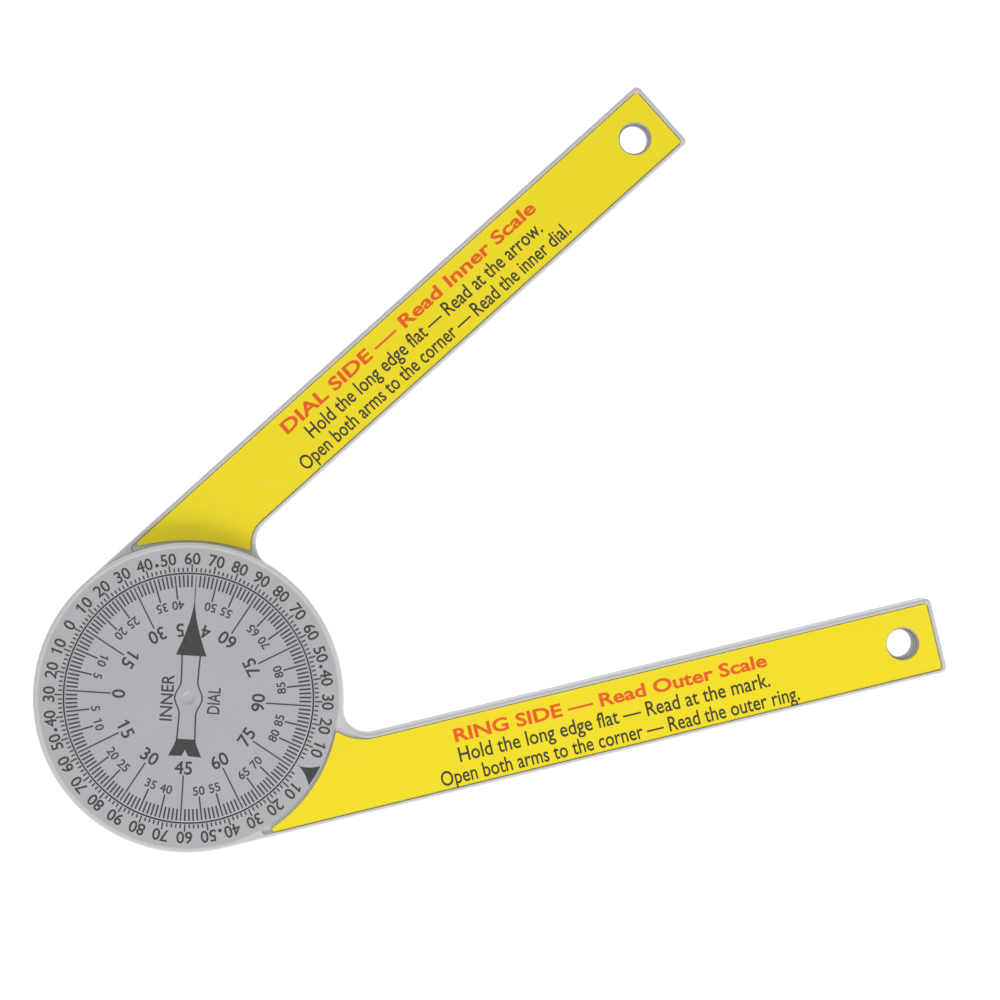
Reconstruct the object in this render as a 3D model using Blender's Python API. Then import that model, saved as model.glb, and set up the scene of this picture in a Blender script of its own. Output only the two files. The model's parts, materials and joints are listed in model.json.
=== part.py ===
"""Two-arm mitre protractor with a pair of rotating angle scales.

Frame: the pivot axis is Z, the back of the tool lies on z = 0 and the printed face looks up.
The ring arm carries the outer scale and runs along +X. The dial arm carries the inner scale,
and stands OPEN_ANGLE from it. Everything is in metres.
"""

import math

import bmesh
import bpy
from mathutils import Matrix, Vector

# ---------------------------------------------------------------- overall sizes
HUB_RADIUS = 0.03175
ARM_REACH = 0.1524
ARM_WIDTH = 0.015875
OVERALL_HEIGHT = 0.0140
OPEN_ANGLE = math.radians(28.4)

# ---------------------------------------------------------------- clearances
CLEARANCE = 0.0003
LABEL_CLEARANCE = 0.00015
ARM_SWEEP_GAP = 0.0004

# ---------------------------------------------------------------- the two moulded arms
ROOT_FILLET = 0.0050
TIP_CORNER = 0.0012
WALL = 0.0016
SKIN = 0.0014
TOP_ROUND = 0.0006
BOTTOM_ROUND = 0.0004
BLUNT_EDGE = 0.0012
RIM = 0.0009
POCKET_DEPTH = 0.0007
POCKET_CORNER = 0.0008
LABEL_THICKNESS = 0.00035
HUB_BORDER = 0.0005
COVER_THICKNESS = 0.0020

# ---------------------------------------------------------------- scale ring and dial
RING_HEIGHT = 0.0034
RING_WIDTH = 0.0061
LIP_WIDTH = 0.0050
LIP_THICKNESS = 0.0016
DIAL_EDGE_ROUND = 0.0003
DIMPLE_RADIUS = 0.0013
DIMPLE_DEPTH = 0.00025
DIMPLE_FLAT_RADIUS = 0.0008
POST_RADIUS = 0.0040
PEG_RADIUS = 0.0012
PEG_CIRCLE = 0.0105
PEG_DEPTH = 0.0020
PEG_COUNT = 3
SLIP_RING_INSET = 0.0012
SLIP_RING_THICKNESS = 0.0006

# ---------------------------------------------------------------- pivot stack
TUBE_RADIUS = 0.0080
WELL_RADIUS = 0.0055
CAP_RADIUS = 0.0070
CAP_THICKNESS = 0.0010
CAP_SKIRT_WALL = 0.0008
CAP_SKIRT_DEPTH = 0.0012
PIVOT_HEAD_RADIUS = 0.0032
PIVOT_HEAD_HEIGHT = 0.0014
PIVOT_SHANK_RADIUS = 0.0015
PIVOT_POINT = 0.00075
PIVOT_RECESS_DEPTH = 0.00085
WASHER_RADIUS = 0.0045
WASHER_THICKNESS = 0.0006
SPRING_THICKNESS = 0.00035
SPRING_WAVE = 0.00030
SPRING_WAVES = 3
WEB_THICKNESS = 0.0012
POST_BORE_SKIN = 0.0016

# ---------------------------------------------------------------- hanging hole and cover screws
HOLE_RADIUS = 0.00325
HOLE_STEP = 0.00035
HOLE_WALL = 0.0015
HOLE_FROM_TIP = 0.0077
HOLE_STEP_DEPTH = 0.0050
SCREW_SHANK_RADIUS = 0.0009
SCREW_HEAD_RADIUS = 0.0017
SCREW_HEAD_HEIGHT = 0.0009
SCREW_LENGTH = 0.0060
SCREW_SINK = 0.00015
SCREW_POINT = 0.00055
SCREW_RECESS_DEPTH = 0.00055
BOSS_WALL = 0.0014
ARM_SCREWS = 3
FIRST_SCREW_FROM_HUB = 0.0145
LAST_SCREW_FROM_HOLE = 0.0150
HUB_SCREW_INSET = 0.0060
HUB_SCREW_ANGLES = (math.radians(135), math.radians(225))
CROSS_ARM = 0.55
CROSS_WIDTH = 0.18

# ---------------------------------------------------------------- smoothness of round shapes
LARGE_STEPS = 64
MEDIUM_STEPS = 32
SMALL_STEPS = 14
CUT_MARGIN = 0.0010

# ---------------------------------------------------------------- levels worked out from the sizes
RING_UNDERSIDE = OVERALL_HEIGHT - RING_HEIGHT
HUB_TOP = RING_UNDERSIDE - CLEARANCE
RING_BORE = HUB_RADIUS - RING_WIDTH
DIAL_RADIUS = RING_BORE - CLEARANCE
LIP_BORE = RING_BORE - LIP_WIDTH
LIP_TOP = RING_UNDERSIDE + LIP_THICKNESS
DIAL_UNDERSIDE = LIP_TOP + CLEARANCE
DIAL_BOSS_RADIUS = LIP_BORE - CLEARANCE
DIAL_BOSS_UNDERSIDE = HUB_TOP + CLEARANCE
GROOVE_DEPTH = SLIP_RING_THICKNESS + CLEARANCE
COVER_SEAT = COVER_THICKNESS + CLEARANCE
WELL_MOUTH = CAP_THICKNESS + CLEARANCE
PIVOT_HEAD_BASE = WELL_MOUTH
PIVOT_HEAD_TOP = PIVOT_HEAD_BASE + PIVOT_HEAD_HEIGHT
WASHER_BASE = PIVOT_HEAD_TOP + CLEARANCE
SPRING_BASE = WASHER_BASE + WASHER_THICKNESS + CLEARANCE
WEB_BASE = SPRING_BASE + SPRING_THICKNESS + 2 * SPRING_WAVE + CLEARANCE
WEB_TOP = WEB_BASE + WEB_THICKNESS
POST_BASE = WEB_TOP + CLEARANCE
POST_BORE_TOP = OVERALL_HEIGHT - POST_BORE_SKIN
FILLET_CENTRE_Y = HUB_RADIUS - ARM_WIDTH - ROOT_FILLET
FILLET_CENTRE_X = math.sqrt((HUB_RADIUS + ROOT_FILLET) ** 2 - FILLET_CENTRE_Y ** 2)
ARM_CENTRE_Y = HUB_RADIUS - ARM_WIDTH / 2
HOLE_X = ARM_REACH - HOLE_FROM_TIP
PILOT_RADIUS = SCREW_SHANK_RADIUS + CLEARANCE
BOSS_RADIUS = PILOT_RADIUS + BOSS_WALL
RING_ARM_SIDE = -1
DIAL_ARM_SIDE = 1


# ---------------------------------------------------------------- scene and materials
def clear_scene():
    for old in list(bpy.data.objects):
        bpy.data.objects.remove(old, do_unlink=True)


def plastic_or_metal(name, colour, roughness, metallic):
    """Return a Principled material with one plain finish."""
    finish = bpy.data.materials.new(name)
    finish.use_nodes = True
    shader = finish.node_tree.nodes["Principled BSDF"]
    shader.inputs["Base Color"].default_value = (*colour, 1.0)
    shader.inputs["Roughness"].default_value = roughness
    shader.inputs["Metallic"].default_value = metallic
    finish.diffuse_color = (*colour, 1.0)
    return finish


# ---------------------------------------------------------------- flat outlines, as lists of (x, y)
def arc(centre, radius, start, end, steps):
    """Points along an arc from start to end, both ends included."""
    points = []
    for i in range(steps + 1):
        angle = start + (end - start) * i / steps
        points.append((centre[0] + radius * math.cos(angle), centre[1] + radius * math.sin(angle)))
    return points


def circle(centre, radius, steps):
    return arc(centre, radius, 0.0, math.tau, steps)[:-1]


def mirrored(points, side):
    """Outlines are drawn on the +Y side; side -1 turns them over, still anticlockwise."""
    if side > 0:
        return points
    return [(x, -y) for x, y in reversed(points)]


def arm_outline(side, inset=0.0):
    """The whole arm seen from above: hub disc, straight arm and the fillet between them."""
    hub = HUB_RADIUS - inset
    outer_y = hub
    inner_y = HUB_RADIUS - ARM_WIDTH + inset
    tip_x = ARM_REACH - inset
    corner = max(TIP_CORNER - inset, TIP_CORNER / 3)
    fillet = ROOT_FILLET + inset
    touch = math.atan2(FILLET_CENTRE_Y, FILLET_CENTRE_X)
    turned = math.pi + touch

    points = arc((0, 0), hub, math.pi / 2, math.tau + touch, round(LARGE_STEPS * 0.82))
    points += arc((FILLET_CENTRE_X, FILLET_CENTRE_Y), fillet, turned, math.pi / 2, 8)[1:]
    points += arc((tip_x - corner, inner_y + corner), corner, -math.pi / 2, 0, 4)
    points += arc((tip_x - corner, outer_y - corner), corner, 0, math.pi / 2, 4)
    return mirrored(points, side)


def arm_window(side, inset, hub_gap, corner):
    """The arm without its hub: what is left outside a circle hub_gap larger than the hub."""
    start = HUB_RADIUS + hub_gap
    outer_y = HUB_RADIUS - inset
    inner_y = HUB_RADIUS - ARM_WIDTH + inset
    tip_x = ARM_REACH - inset
    fillet = ROOT_FILLET + inset
    reach = math.hypot(FILLET_CENTRE_X, FILLET_CENTRE_Y)
    bearing = math.atan2(FILLET_CENTRE_Y, FILLET_CENTRE_X)
    spread = math.acos((start ** 2 + reach ** 2 - fillet ** 2) / (2 * start * reach))
    meet = bearing + spread
    meet_x = start * math.cos(meet)
    meet_y = start * math.sin(meet)
    from_fillet = math.atan2(meet_y - FILLET_CENTRE_Y, meet_x - FILLET_CENTRE_X)

    points = arc((0, 0), start, math.asin(outer_y / start), meet, 12)
    points += arc((FILLET_CENTRE_X, FILLET_CENTRE_Y), fillet, from_fillet, math.pi / 2, 5)[1:]
    points += [(tip_x, inner_y), (tip_x, outer_y)]
    return mirrored(rounded(points, corner), side)


def rounded(points, radius):
    """Round every corner sharper than 30 degrees, and keep the gentle ones of the arcs."""
    result = []
    count = len(points)
    for i, point in enumerate(points):
        here = Vector(point)
        before = Vector(points[i - 1]) - here
        after = Vector(points[(i + 1) % count]) - here
        turn = math.pi - before.angle(after)
        if turn < math.radians(30):
            result.append(point)
            continue
        cut = min(radius * math.tan(turn / 2), before.length * 0.45, after.length * 0.45)
        first = here + before.normalized() * cut
        last = here + after.normalized() * cut
        for step in range(4):
            t = step / 3
            bend = first * (1 - t) ** 2 + here * 2 * t * (1 - t) + last * t ** 2
            result.append((bend.x, bend.y))
    return result


# ---------------------------------------------------------------- solids
def make_object(name, bm, finish):
    bmesh.ops.recalc_face_normals(bm, faces=bm.faces)
    mesh = bpy.data.meshes.new(name)
    bm.to_mesh(mesh)
    bm.free()
    piece = bpy.data.objects.new(name, mesh)
    bpy.context.scene.collection.objects.link(piece)
    if finish is not None:
        mesh.materials.append(finish)
    return piece


def outline_edges(bm, level):
    """The edges that lie in the plane z = level."""
    flat = []
    for edge in bm.edges:
        if all(abs(vert.co.z - level) < 1e-7 for vert in edge.verts):
            flat.append(edge)
    return flat


def plate(name, outline, base, top, finish=None, top_round=0.0, bottom_round=0.0):
    """Extrude an outline from base to top, with rounded rims where they are asked for."""
    bm = bmesh.new()
    face = bm.faces.new([bm.verts.new((x, y, base)) for x, y in outline])
    raised = bmesh.ops.extrude_face_region(bm, geom=[face])["geom"]
    moved = [item for item in raised if isinstance(item, bmesh.types.BMVert)]
    bmesh.ops.translate(bm, verts=moved, vec=(0, 0, top - base))
    for level, radius in ((top, top_round), (base, bottom_round)):
        if radius > 0:
            bmesh.ops.bevel(bm, geom=outline_edges(bm, level), offset=radius, segments=2,
                            affect="EDGES", clamp_overlap=False)
    return make_object(name, bm, finish)


def turned(name, profile, steps, finish=None, closed=False):
    """Spin a profile of (radius, z) points about the Z axis."""
    bm = bmesh.new()
    verts = [bm.verts.new((radius, 0, z)) for radius, z in profile]
    edges = [bm.edges.new(pair) for pair in zip(verts, verts[1:])]
    if closed:
        edges.append(bm.edges.new((verts[-1], verts[0])))
    bmesh.ops.spin(bm, geom=verts + edges, cent=(0, 0, 0), axis=(0, 0, 1), angle=math.tau,
                   steps=steps, use_merge=True)
    bmesh.ops.remove_doubles(bm, verts=bm.verts, dist=1e-7)
    return make_object(name, bm, finish)


def cylinder(name, radius, base, top, steps, centre=(0, 0)):
    return plate(name, circle(centre, radius, steps), base, top)


def boolean(target, operation, pieces):
    """One Boolean for a whole group of shapes, which never show themselves."""
    group = bpy.data.collections.new(f"{operation.lower()}_{target.name}")
    for piece in pieces:
        piece.display_type = "WIRE"
        piece.hide_render = True
        group.objects.link(piece)
    step = target.modifiers.new(group.name, "BOOLEAN")
    step.operation = operation
    step.solver = "EXACT"
    step.operand_type = "COLLECTION"
    step.collection = group
    return target


def carve(target, *cutters):
    """Take the cutters away from the target."""
    return boolean(target, "DIFFERENCE", cutters)


def add_to(target, *pieces):
    """Weld closed shapes on to the target, so that they become one body with it."""
    return boolean(target, "UNION", pieces)


def smooth(piece, angle=35):
    """Round shapes shade smooth, and real edges stay crisp."""
    piece.data.shade_smooth()
    piece.data.set_sharp_from_angle(angle=math.radians(angle))


# ---------------------------------------------------------------- where the screws go
def arm_screw_places(side):
    first = HUB_RADIUS + FIRST_SCREW_FROM_HUB
    last = HOLE_X - LAST_SCREW_FROM_HOLE
    step = (last - first) / (ARM_SCREWS - 1)
    return [(first + i * step, side * ARM_CENTRE_Y) for i in range(ARM_SCREWS)]


def hub_screw_places():
    radius = HUB_RADIUS - HUB_SCREW_INSET
    return [(radius * math.cos(angle), radius * math.sin(angle)) for angle in HUB_SCREW_ANGLES]


# ---------------------------------------------------------------- shared cuts of both arms
def hanging_hole_cuts(prefix, side, top):
    """A wide bore from the face, and a narrower one through the rest."""
    centre = (HOLE_X, side * ARM_CENTRE_Y)
    step = top - HOLE_STEP_DEPTH
    wide = cylinder(prefix + "_hole_front", HOLE_RADIUS, step, top + CUT_MARGIN, MEDIUM_STEPS, centre)
    narrow = cylinder(prefix + "_hole_back", HOLE_RADIUS - HOLE_STEP, -CUT_MARGIN, step + CUT_MARGIN,
                      MEDIUM_STEPS, centre)
    return wide, narrow


def inside_of_arm(prefix, outline, ceiling, side, screws):
    """The hollow behind the face, with the screw bosses and the hole's tube left standing."""
    hollow = plate(prefix + "_hollow", outline, -CUT_MARGIN, ceiling)
    reach = ceiling + CUT_MARGIN
    posts = [cylinder(prefix + "_hole_tube", HOLE_RADIUS + HOLE_WALL, COVER_SEAT, reach, MEDIUM_STEPS,
                      (HOLE_X, side * ARM_CENTRE_Y))]
    for number, place in enumerate(screws, 1):
        posts.append(cylinder(f"{prefix}_boss_{number}", BOSS_RADIUS, COVER_SEAT, reach, SMALL_STEPS,
                              place))
    return hollow, posts


def pilot_holes(prefix, screws):
    depth = SCREW_SINK + SCREW_LENGTH + CLEARANCE
    return [cylinder(f"{prefix}_pilot_{number}", PILOT_RADIUS, -CUT_MARGIN, depth, SMALL_STEPS, place)
            for number, place in enumerate(screws, 1)]


def cover_drills(prefix, side, screws):
    """Screw holes with sunk seats, and the hanging hole."""
    seat = SCREW_SINK + SCREW_HEAD_HEIGHT + CLEARANCE
    through = COVER_THICKNESS + CUT_MARGIN
    drills = [cylinder(prefix + "_cover_hole", HOLE_RADIUS - HOLE_STEP, -CUT_MARGIN, through,
                       MEDIUM_STEPS, (HOLE_X, side * ARM_CENTRE_Y))]
    for number, place in enumerate(screws, 1):
        drill = turned(f"{prefix}_drill_{number}",
                       [(0, -CUT_MARGIN), (SCREW_HEAD_RADIUS + CLEARANCE, -CUT_MARGIN),
                        (SCREW_HEAD_RADIUS + CLEARANCE, seat), (PILOT_RADIUS, seat),
                        (PILOT_RADIUS, through), (0, through)], SMALL_STEPS)
        drill.location = (*place, 0)
        drills.append(drill)
    return drills


def label(name, side, face, hub_gap, finish):
    """A printed plate that lies a little below the rim of its pocket."""
    outline = arm_window(side, RIM + LABEL_CLEARANCE, hub_gap + LABEL_CLEARANCE, POCKET_CORNER)
    base = face - POCKET_DEPTH + LABEL_CLEARANCE
    piece = plate(name, outline, base, base + LABEL_THICKNESS, finish)
    hole = cylinder(name + "_hole", HOLE_RADIUS + LABEL_CLEARANCE, base - CUT_MARGIN,
                    base + LABEL_THICKNESS + CUT_MARGIN, MEDIUM_STEPS, (HOLE_X, side * ARM_CENTRE_Y))
    return carve(piece, hole)


def label_pocket(prefix, side, face, hub_gap):
    outline = arm_window(side, RIM, hub_gap, POCKET_CORNER)
    return plate(prefix + "_pocket", outline, face - POCKET_DEPTH, face + CUT_MARGIN)


# ---------------------------------------------------------------- ring arm
def ring_arm_shell(finish):
    """Full-height arm whose hub is only the scale ring, above the dial arm's hub."""
    side = RING_ARM_SIDE
    screws = arm_screw_places(side)
    shell = plate("ring_arm_shell", arm_outline(side), 0, OVERALL_HEIGHT, finish,
                  TOP_ROUND, BOTTOM_ROUND)
    sweep = HUB_RADIUS + ARM_SWEEP_GAP
    clear_hub = cylinder("ring_hub_room", sweep, -CUT_MARGIN, RING_UNDERSIDE, LARGE_STEPS)
    blunt_x = math.sqrt((sweep + BLUNT_EDGE) ** 2 - HUB_RADIUS ** 2)
    blunt_y = FILLET_CENTRE_Y + ROOT_FILLET / 2
    far = ARM_REACH
    outer_trim = plate("ring_outer_trim", [(0, -far), (blunt_x, -far), (blunt_x, 0), (0, 0)],
                       -CUT_MARGIN, RING_UNDERSIDE)
    inner_trim = plate("ring_inner_trim", [(0, -blunt_y), (far, -blunt_y), (far, far), (0, far)],
                       -CUT_MARGIN, RING_UNDERSIDE)
    bore = turned("ring_bore", [(0, RING_UNDERSIDE - CUT_MARGIN), (LIP_BORE, RING_UNDERSIDE - CUT_MARGIN),
                                (LIP_BORE, LIP_TOP), (RING_BORE, LIP_TOP),
                                (RING_BORE, OVERALL_HEIGHT + CUT_MARGIN),
                                (0, OVERALL_HEIGHT + CUT_MARGIN)], LARGE_STEPS)
    hollow, posts = inside_of_arm("ring_arm",
                                  arm_window(side, WALL, ARM_SWEEP_GAP + WALL, POCKET_CORNER),
                                  OVERALL_HEIGHT - POCKET_DEPTH - SKIN, side, screws)
    carve(hollow, *posts)
    carve(shell, clear_hub, outer_trim, inner_trim, bore, hollow,
          label_pocket("ring_arm", side, OVERALL_HEIGHT, 0.0),
          *hanging_hole_cuts("ring_arm", side, OVERALL_HEIGHT), *pilot_holes("ring_arm", screws))
    smooth(shell)
    return shell


def ring_arm_cover(finish):
    side = RING_ARM_SIDE
    inset = WALL + CLEARANCE
    outline = arm_window(side, inset, ARM_SWEEP_GAP + inset, POCKET_CORNER)
    cover = plate("ring_arm_cover", outline, 0, COVER_THICKNESS, finish)
    carve(cover, *cover_drills("ring_arm", side, arm_screw_places(side)))
    smooth(cover)
    return cover


# ---------------------------------------------------------------- dial arm
def dial_arm_shell(finish):
    """Low arm with a full hub; the ring turns on it and the dial is pegged into it."""
    side = DIAL_ARM_SIDE
    screws = arm_screw_places(side) + hub_screw_places()
    ceiling = HUB_TOP - POCKET_DEPTH - SKIN
    shell = plate("dial_arm_shell", arm_outline(side), 0, HUB_TOP, finish, TOP_ROUND, BOTTOM_ROUND)
    hollow, posts = inside_of_arm("dial_arm", arm_outline(side, WALL), ceiling, side, screws)
    tube = cylinder("dial_arm_tube", TUBE_RADIUS, WELL_MOUTH, ceiling + CUT_MARGIN, MEDIUM_STEPS)
    carve(hollow, tube, *posts)
    groove_floor = HUB_TOP - GROOVE_DEPTH
    inner = LIP_BORE + SLIP_RING_INSET - CLEARANCE
    outer = HUB_RADIUS - SLIP_RING_INSET + CLEARANCE
    groove = turned("dial_arm_groove", [(inner, groove_floor), (outer, groove_floor),
                                        (outer, HUB_TOP + CUT_MARGIN), (inner, HUB_TOP + CUT_MARGIN)],
                    LARGE_STEPS, closed=True)
    pivot = turned("dial_arm_pivot_bore",
                   [(0, -CUT_MARGIN), (WELL_RADIUS, -CUT_MARGIN), (WELL_RADIUS, WEB_BASE),
                    (PIVOT_SHANK_RADIUS + CLEARANCE, WEB_BASE), (PIVOT_SHANK_RADIUS + CLEARANCE, WEB_TOP),
                    (POST_RADIUS + CLEARANCE, WEB_TOP), (POST_RADIUS + CLEARANCE, HUB_TOP + CUT_MARGIN),
                    (0, HUB_TOP + CUT_MARGIN)], MEDIUM_STEPS)
    sockets = [cylinder(f"dial_arm_socket_{number}", PEG_RADIUS + CLEARANCE, ceiling - CUT_MARGIN,
                        HUB_TOP + CUT_MARGIN, SMALL_STEPS, place)
               for number, place in enumerate(peg_places(), 1)]
    carve(shell, hollow, groove, pivot, label_pocket("dial_arm", side, HUB_TOP, HUB_BORDER),
          *hanging_hole_cuts("dial_arm", side, HUB_TOP), *sockets, *pilot_holes("dial_arm", screws))
    smooth(shell)
    return shell


def dial_arm_cover(finish):
    side = DIAL_ARM_SIDE
    cover = plate("dial_arm_cover", arm_outline(side, WALL + CLEARANCE), 0, COVER_THICKNESS, finish)
    mouth = turned("dial_arm_mouth",
                   [(0, -CUT_MARGIN), (CAP_RADIUS + CLEARANCE, -CUT_MARGIN),
                    (CAP_RADIUS + CLEARANCE, WELL_MOUTH - CLEARANCE),
                    (TUBE_RADIUS + CLEARANCE, WELL_MOUTH - CLEARANCE),
                    (TUBE_RADIUS + CLEARANCE, COVER_THICKNESS + CUT_MARGIN),
                    (0, COVER_THICKNESS + CUT_MARGIN)], MEDIUM_STEPS)
    carve(cover, mouth,
          *cover_drills("dial_arm", side, arm_screw_places(side) + hub_screw_places()))
    smooth(cover)
    return cover


# ---------------------------------------------------------------- dial and pivot stack
def peg_places():
    return [(PEG_CIRCLE * math.cos(math.tau * i / PEG_COUNT), PEG_CIRCLE * math.sin(math.tau * i / PEG_COUNT))
            for i in range(PEG_COUNT)]


def inner_dial(finish):
    """Disc level with the ring, a boss inside the ring's lip, a post and three pegs."""
    top = OVERALL_HEIGHT
    edge = DIAL_EDGE_ROUND
    dial = turned("inner_dial",
                  [(0, top - DIMPLE_DEPTH), (DIMPLE_FLAT_RADIUS, top - DIMPLE_DEPTH),
                   (DIMPLE_RADIUS, top), (DIAL_RADIUS - edge, top), (DIAL_RADIUS, top - edge),
                   (DIAL_RADIUS, DIAL_UNDERSIDE), (DIAL_BOSS_RADIUS, DIAL_UNDERSIDE),
                   (DIAL_BOSS_RADIUS, DIAL_BOSS_UNDERSIDE), (POST_RADIUS, DIAL_BOSS_UNDERSIDE),
                   (POST_RADIUS, POST_BASE), (PIVOT_SHANK_RADIUS + CLEARANCE, POST_BASE),
                   (PIVOT_SHANK_RADIUS + CLEARANCE, POST_BORE_TOP), (0, POST_BORE_TOP)],
                  LARGE_STEPS, finish)
    pegs = [cylinder(f"dial_peg_{number}", PEG_RADIUS, HUB_TOP - PEG_DEPTH,
                     DIAL_BOSS_UNDERSIDE + CUT_MARGIN, SMALL_STEPS, place)
            for number, place in enumerate(peg_places(), 1)]
    add_to(dial, *pegs)
    smooth(dial)
    return dial


def slip_ring(finish):
    """Low-friction washer between the scale ring and the hub below it."""
    inner = LIP_BORE + SLIP_RING_INSET
    outer = HUB_RADIUS - SLIP_RING_INSET
    base = HUB_TOP - SLIP_RING_THICKNESS
    ring = turned("slip_ring", [(inner, base), (outer, base), (outer, HUB_TOP), (inner, HUB_TOP)],
                  LARGE_STEPS, finish, closed=True)
    smooth(ring)
    return ring


def flat_washer(finish):
    inner = PIVOT_SHANK_RADIUS + CLEARANCE
    top = WASHER_BASE + WASHER_THICKNESS
    ring = turned("flat_washer", [(inner, WASHER_BASE), (WASHER_RADIUS, WASHER_BASE),
                                  (WASHER_RADIUS, top), (inner, top)], MEDIUM_STEPS, finish, closed=True)
    smooth(ring)
    return ring


def wave_spring(finish):
    """Washer bent into waves; it keeps the ring pinched so that an angle holds."""
    inner = PIVOT_SHANK_RADIUS + CLEARANCE
    base = SPRING_BASE + SPRING_WAVE
    top = base + SPRING_THICKNESS
    spring = turned("wave_spring", [(inner, base), (WASHER_RADIUS, base), (WASHER_RADIUS, top),
                                    (inner, top)], MEDIUM_STEPS, finish, closed=True)
    for vert in spring.data.vertices:
        around = math.atan2(vert.co.y, vert.co.x)
        vert.co.z += SPRING_WAVE * math.cos(SPRING_WAVES * around)
    smooth(spring, 50)
    return spring


def cross_recess(name, centre, head_radius, depth):
    """The driver recess in the back of a screw head, cut from below."""
    long = head_radius * CROSS_ARM
    short = head_radius * CROSS_WIDTH
    corners = [(long, short), (short, short), (short, long)]
    outline = []
    for quarter in range(4):
        turn = Matrix.Rotation(quarter * math.pi / 2, 2)
        outline += [tuple(turn @ Vector(corner)) for corner in corners]
    recess = plate(name, outline, -CUT_MARGIN, depth)
    recess.location = centre
    return recess


def pivot_screw(finish):
    """Goes up through the washers and the web into the dial's post."""
    tip = POST_BORE_TOP - CLEARANCE
    point = PIVOT_POINT
    screw = turned("pivot_screw",
                   [(0, PIVOT_HEAD_BASE), (PIVOT_HEAD_RADIUS, PIVOT_HEAD_BASE),
                    (PIVOT_HEAD_RADIUS, PIVOT_HEAD_TOP), (PIVOT_SHANK_RADIUS, PIVOT_HEAD_TOP),
                    (PIVOT_SHANK_RADIUS, tip - point), (point, tip), (0, tip)], SMALL_STEPS, finish)
    carve(screw, cross_recess("pivot_recess", (0, 0, PIVOT_HEAD_BASE), PIVOT_HEAD_RADIUS,
                              PIVOT_RECESS_DEPTH))
    smooth(screw)
    return screw


def hub_cap(finish):
    """Round cap that hides the pivot screw; its skirt plugs into the well."""
    skirt = WELL_RADIUS - CLEARANCE
    skirt_top = CAP_THICKNESS + CAP_SKIRT_DEPTH
    cap = turned("hub_cap",
                 [(0, 0), (CAP_RADIUS, 0), (CAP_RADIUS, CAP_THICKNESS), (skirt, CAP_THICKNESS),
                  (skirt, skirt_top), (skirt - CAP_SKIRT_WALL, skirt_top),
                  (skirt - CAP_SKIRT_WALL, CAP_THICKNESS), (0, CAP_THICKNESS)], MEDIUM_STEPS, finish)
    smooth(cap)
    return cap


def cover_screw(name, place, finish):
    head_top = SCREW_SINK + SCREW_HEAD_HEIGHT
    tip = SCREW_SINK + SCREW_LENGTH
    point = SCREW_POINT
    screw = turned(name,
                   [(0, SCREW_SINK), (SCREW_HEAD_RADIUS, SCREW_SINK), (SCREW_HEAD_RADIUS, head_top),
                    (SCREW_SHANK_RADIUS, head_top), (SCREW_SHANK_RADIUS, tip - point),
                    (point, tip), (0, tip)], SMALL_STEPS, finish)
    recess = cross_recess(name + "_recess", (0, 0, SCREW_SINK), SCREW_HEAD_RADIUS,
                          SCREW_RECESS_DEPTH)
    recess.parent = screw
    screw.location = (*place, 0)
    carve(screw, recess)
    smooth(screw)
    return screw


# ---------------------------------------------------------------- the whole tool
def build():
    clear_scene()
    grey = plastic_or_metal("grey_plastic", (0.62, 0.62, 0.64), 0.45, 0.0)
    face_grey = plastic_or_metal("dial_plastic", (0.45, 0.45, 0.48), 0.42, 0.0)
    yellow = plastic_or_metal("label_yellow", (0.86, 0.72, 0.03), 0.35, 0.0)
    steel = plastic_or_metal("plated_steel", (0.62, 0.62, 0.60), 0.30, 1.0)
    spring_steel = plastic_or_metal("spring_steel", (0.35, 0.35, 0.36), 0.35, 1.0)
    acetal = plastic_or_metal("slip_plastic", (0.85, 0.85, 0.82), 0.50, 0.0)

    ring_arm_shell(grey)
    ring_arm_cover(grey)
    label("ring_arm_label", RING_ARM_SIDE, OVERALL_HEIGHT, 0.0, yellow)
    for number, place in enumerate(arm_screw_places(RING_ARM_SIDE), 1):
        cover_screw(f"ring_cover_screw_{number}", place, steel)
    ring_group = set(bpy.context.scene.objects)

    dial_arm_shell(grey)
    dial_arm_cover(grey)
    label("dial_arm_label", DIAL_ARM_SIDE, HUB_TOP, HUB_BORDER, yellow)
    inner_dial(face_grey)
    slip_ring(acetal)
    flat_washer(steel)
    wave_spring(spring_steel)
    pivot_screw(steel)
    hub_cap(grey)
    for number, place in enumerate(arm_screw_places(DIAL_ARM_SIDE) + hub_screw_places(), 1):
        cover_screw(f"dial_cover_screw_{number}", place, steel)

    hinge = bpy.data.objects.new("dial_arm_hinge", None)
    bpy.context.scene.collection.objects.link(hinge)
    for piece in bpy.context.scene.objects:
        if piece not in ring_group and piece is not hinge and piece.parent is None:
            piece.parent = hinge
    hinge.rotation_euler.z = OPEN_ANGLE


build()
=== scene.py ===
# %% [markdown]
# A two-arm mitre protractor, finished around its engineering model
#
# The tool is a pair of flat grey plastic arms, joined at a round dial. One arm carries the outer
# scale, on a ring. The other arm carries the inner scale, on a disc that turns inside the ring.
# The engineering model gives the main sizes and the hinge. This lesson builds what the eye sees on
# top of it: soft moulded edges, printed yellow plates, and a dial full of fine dark print.

# %% Load the engineering model
import json
import math

import bmesh
import bpy
from mathutils import Euler, Matrix, Vector


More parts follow.
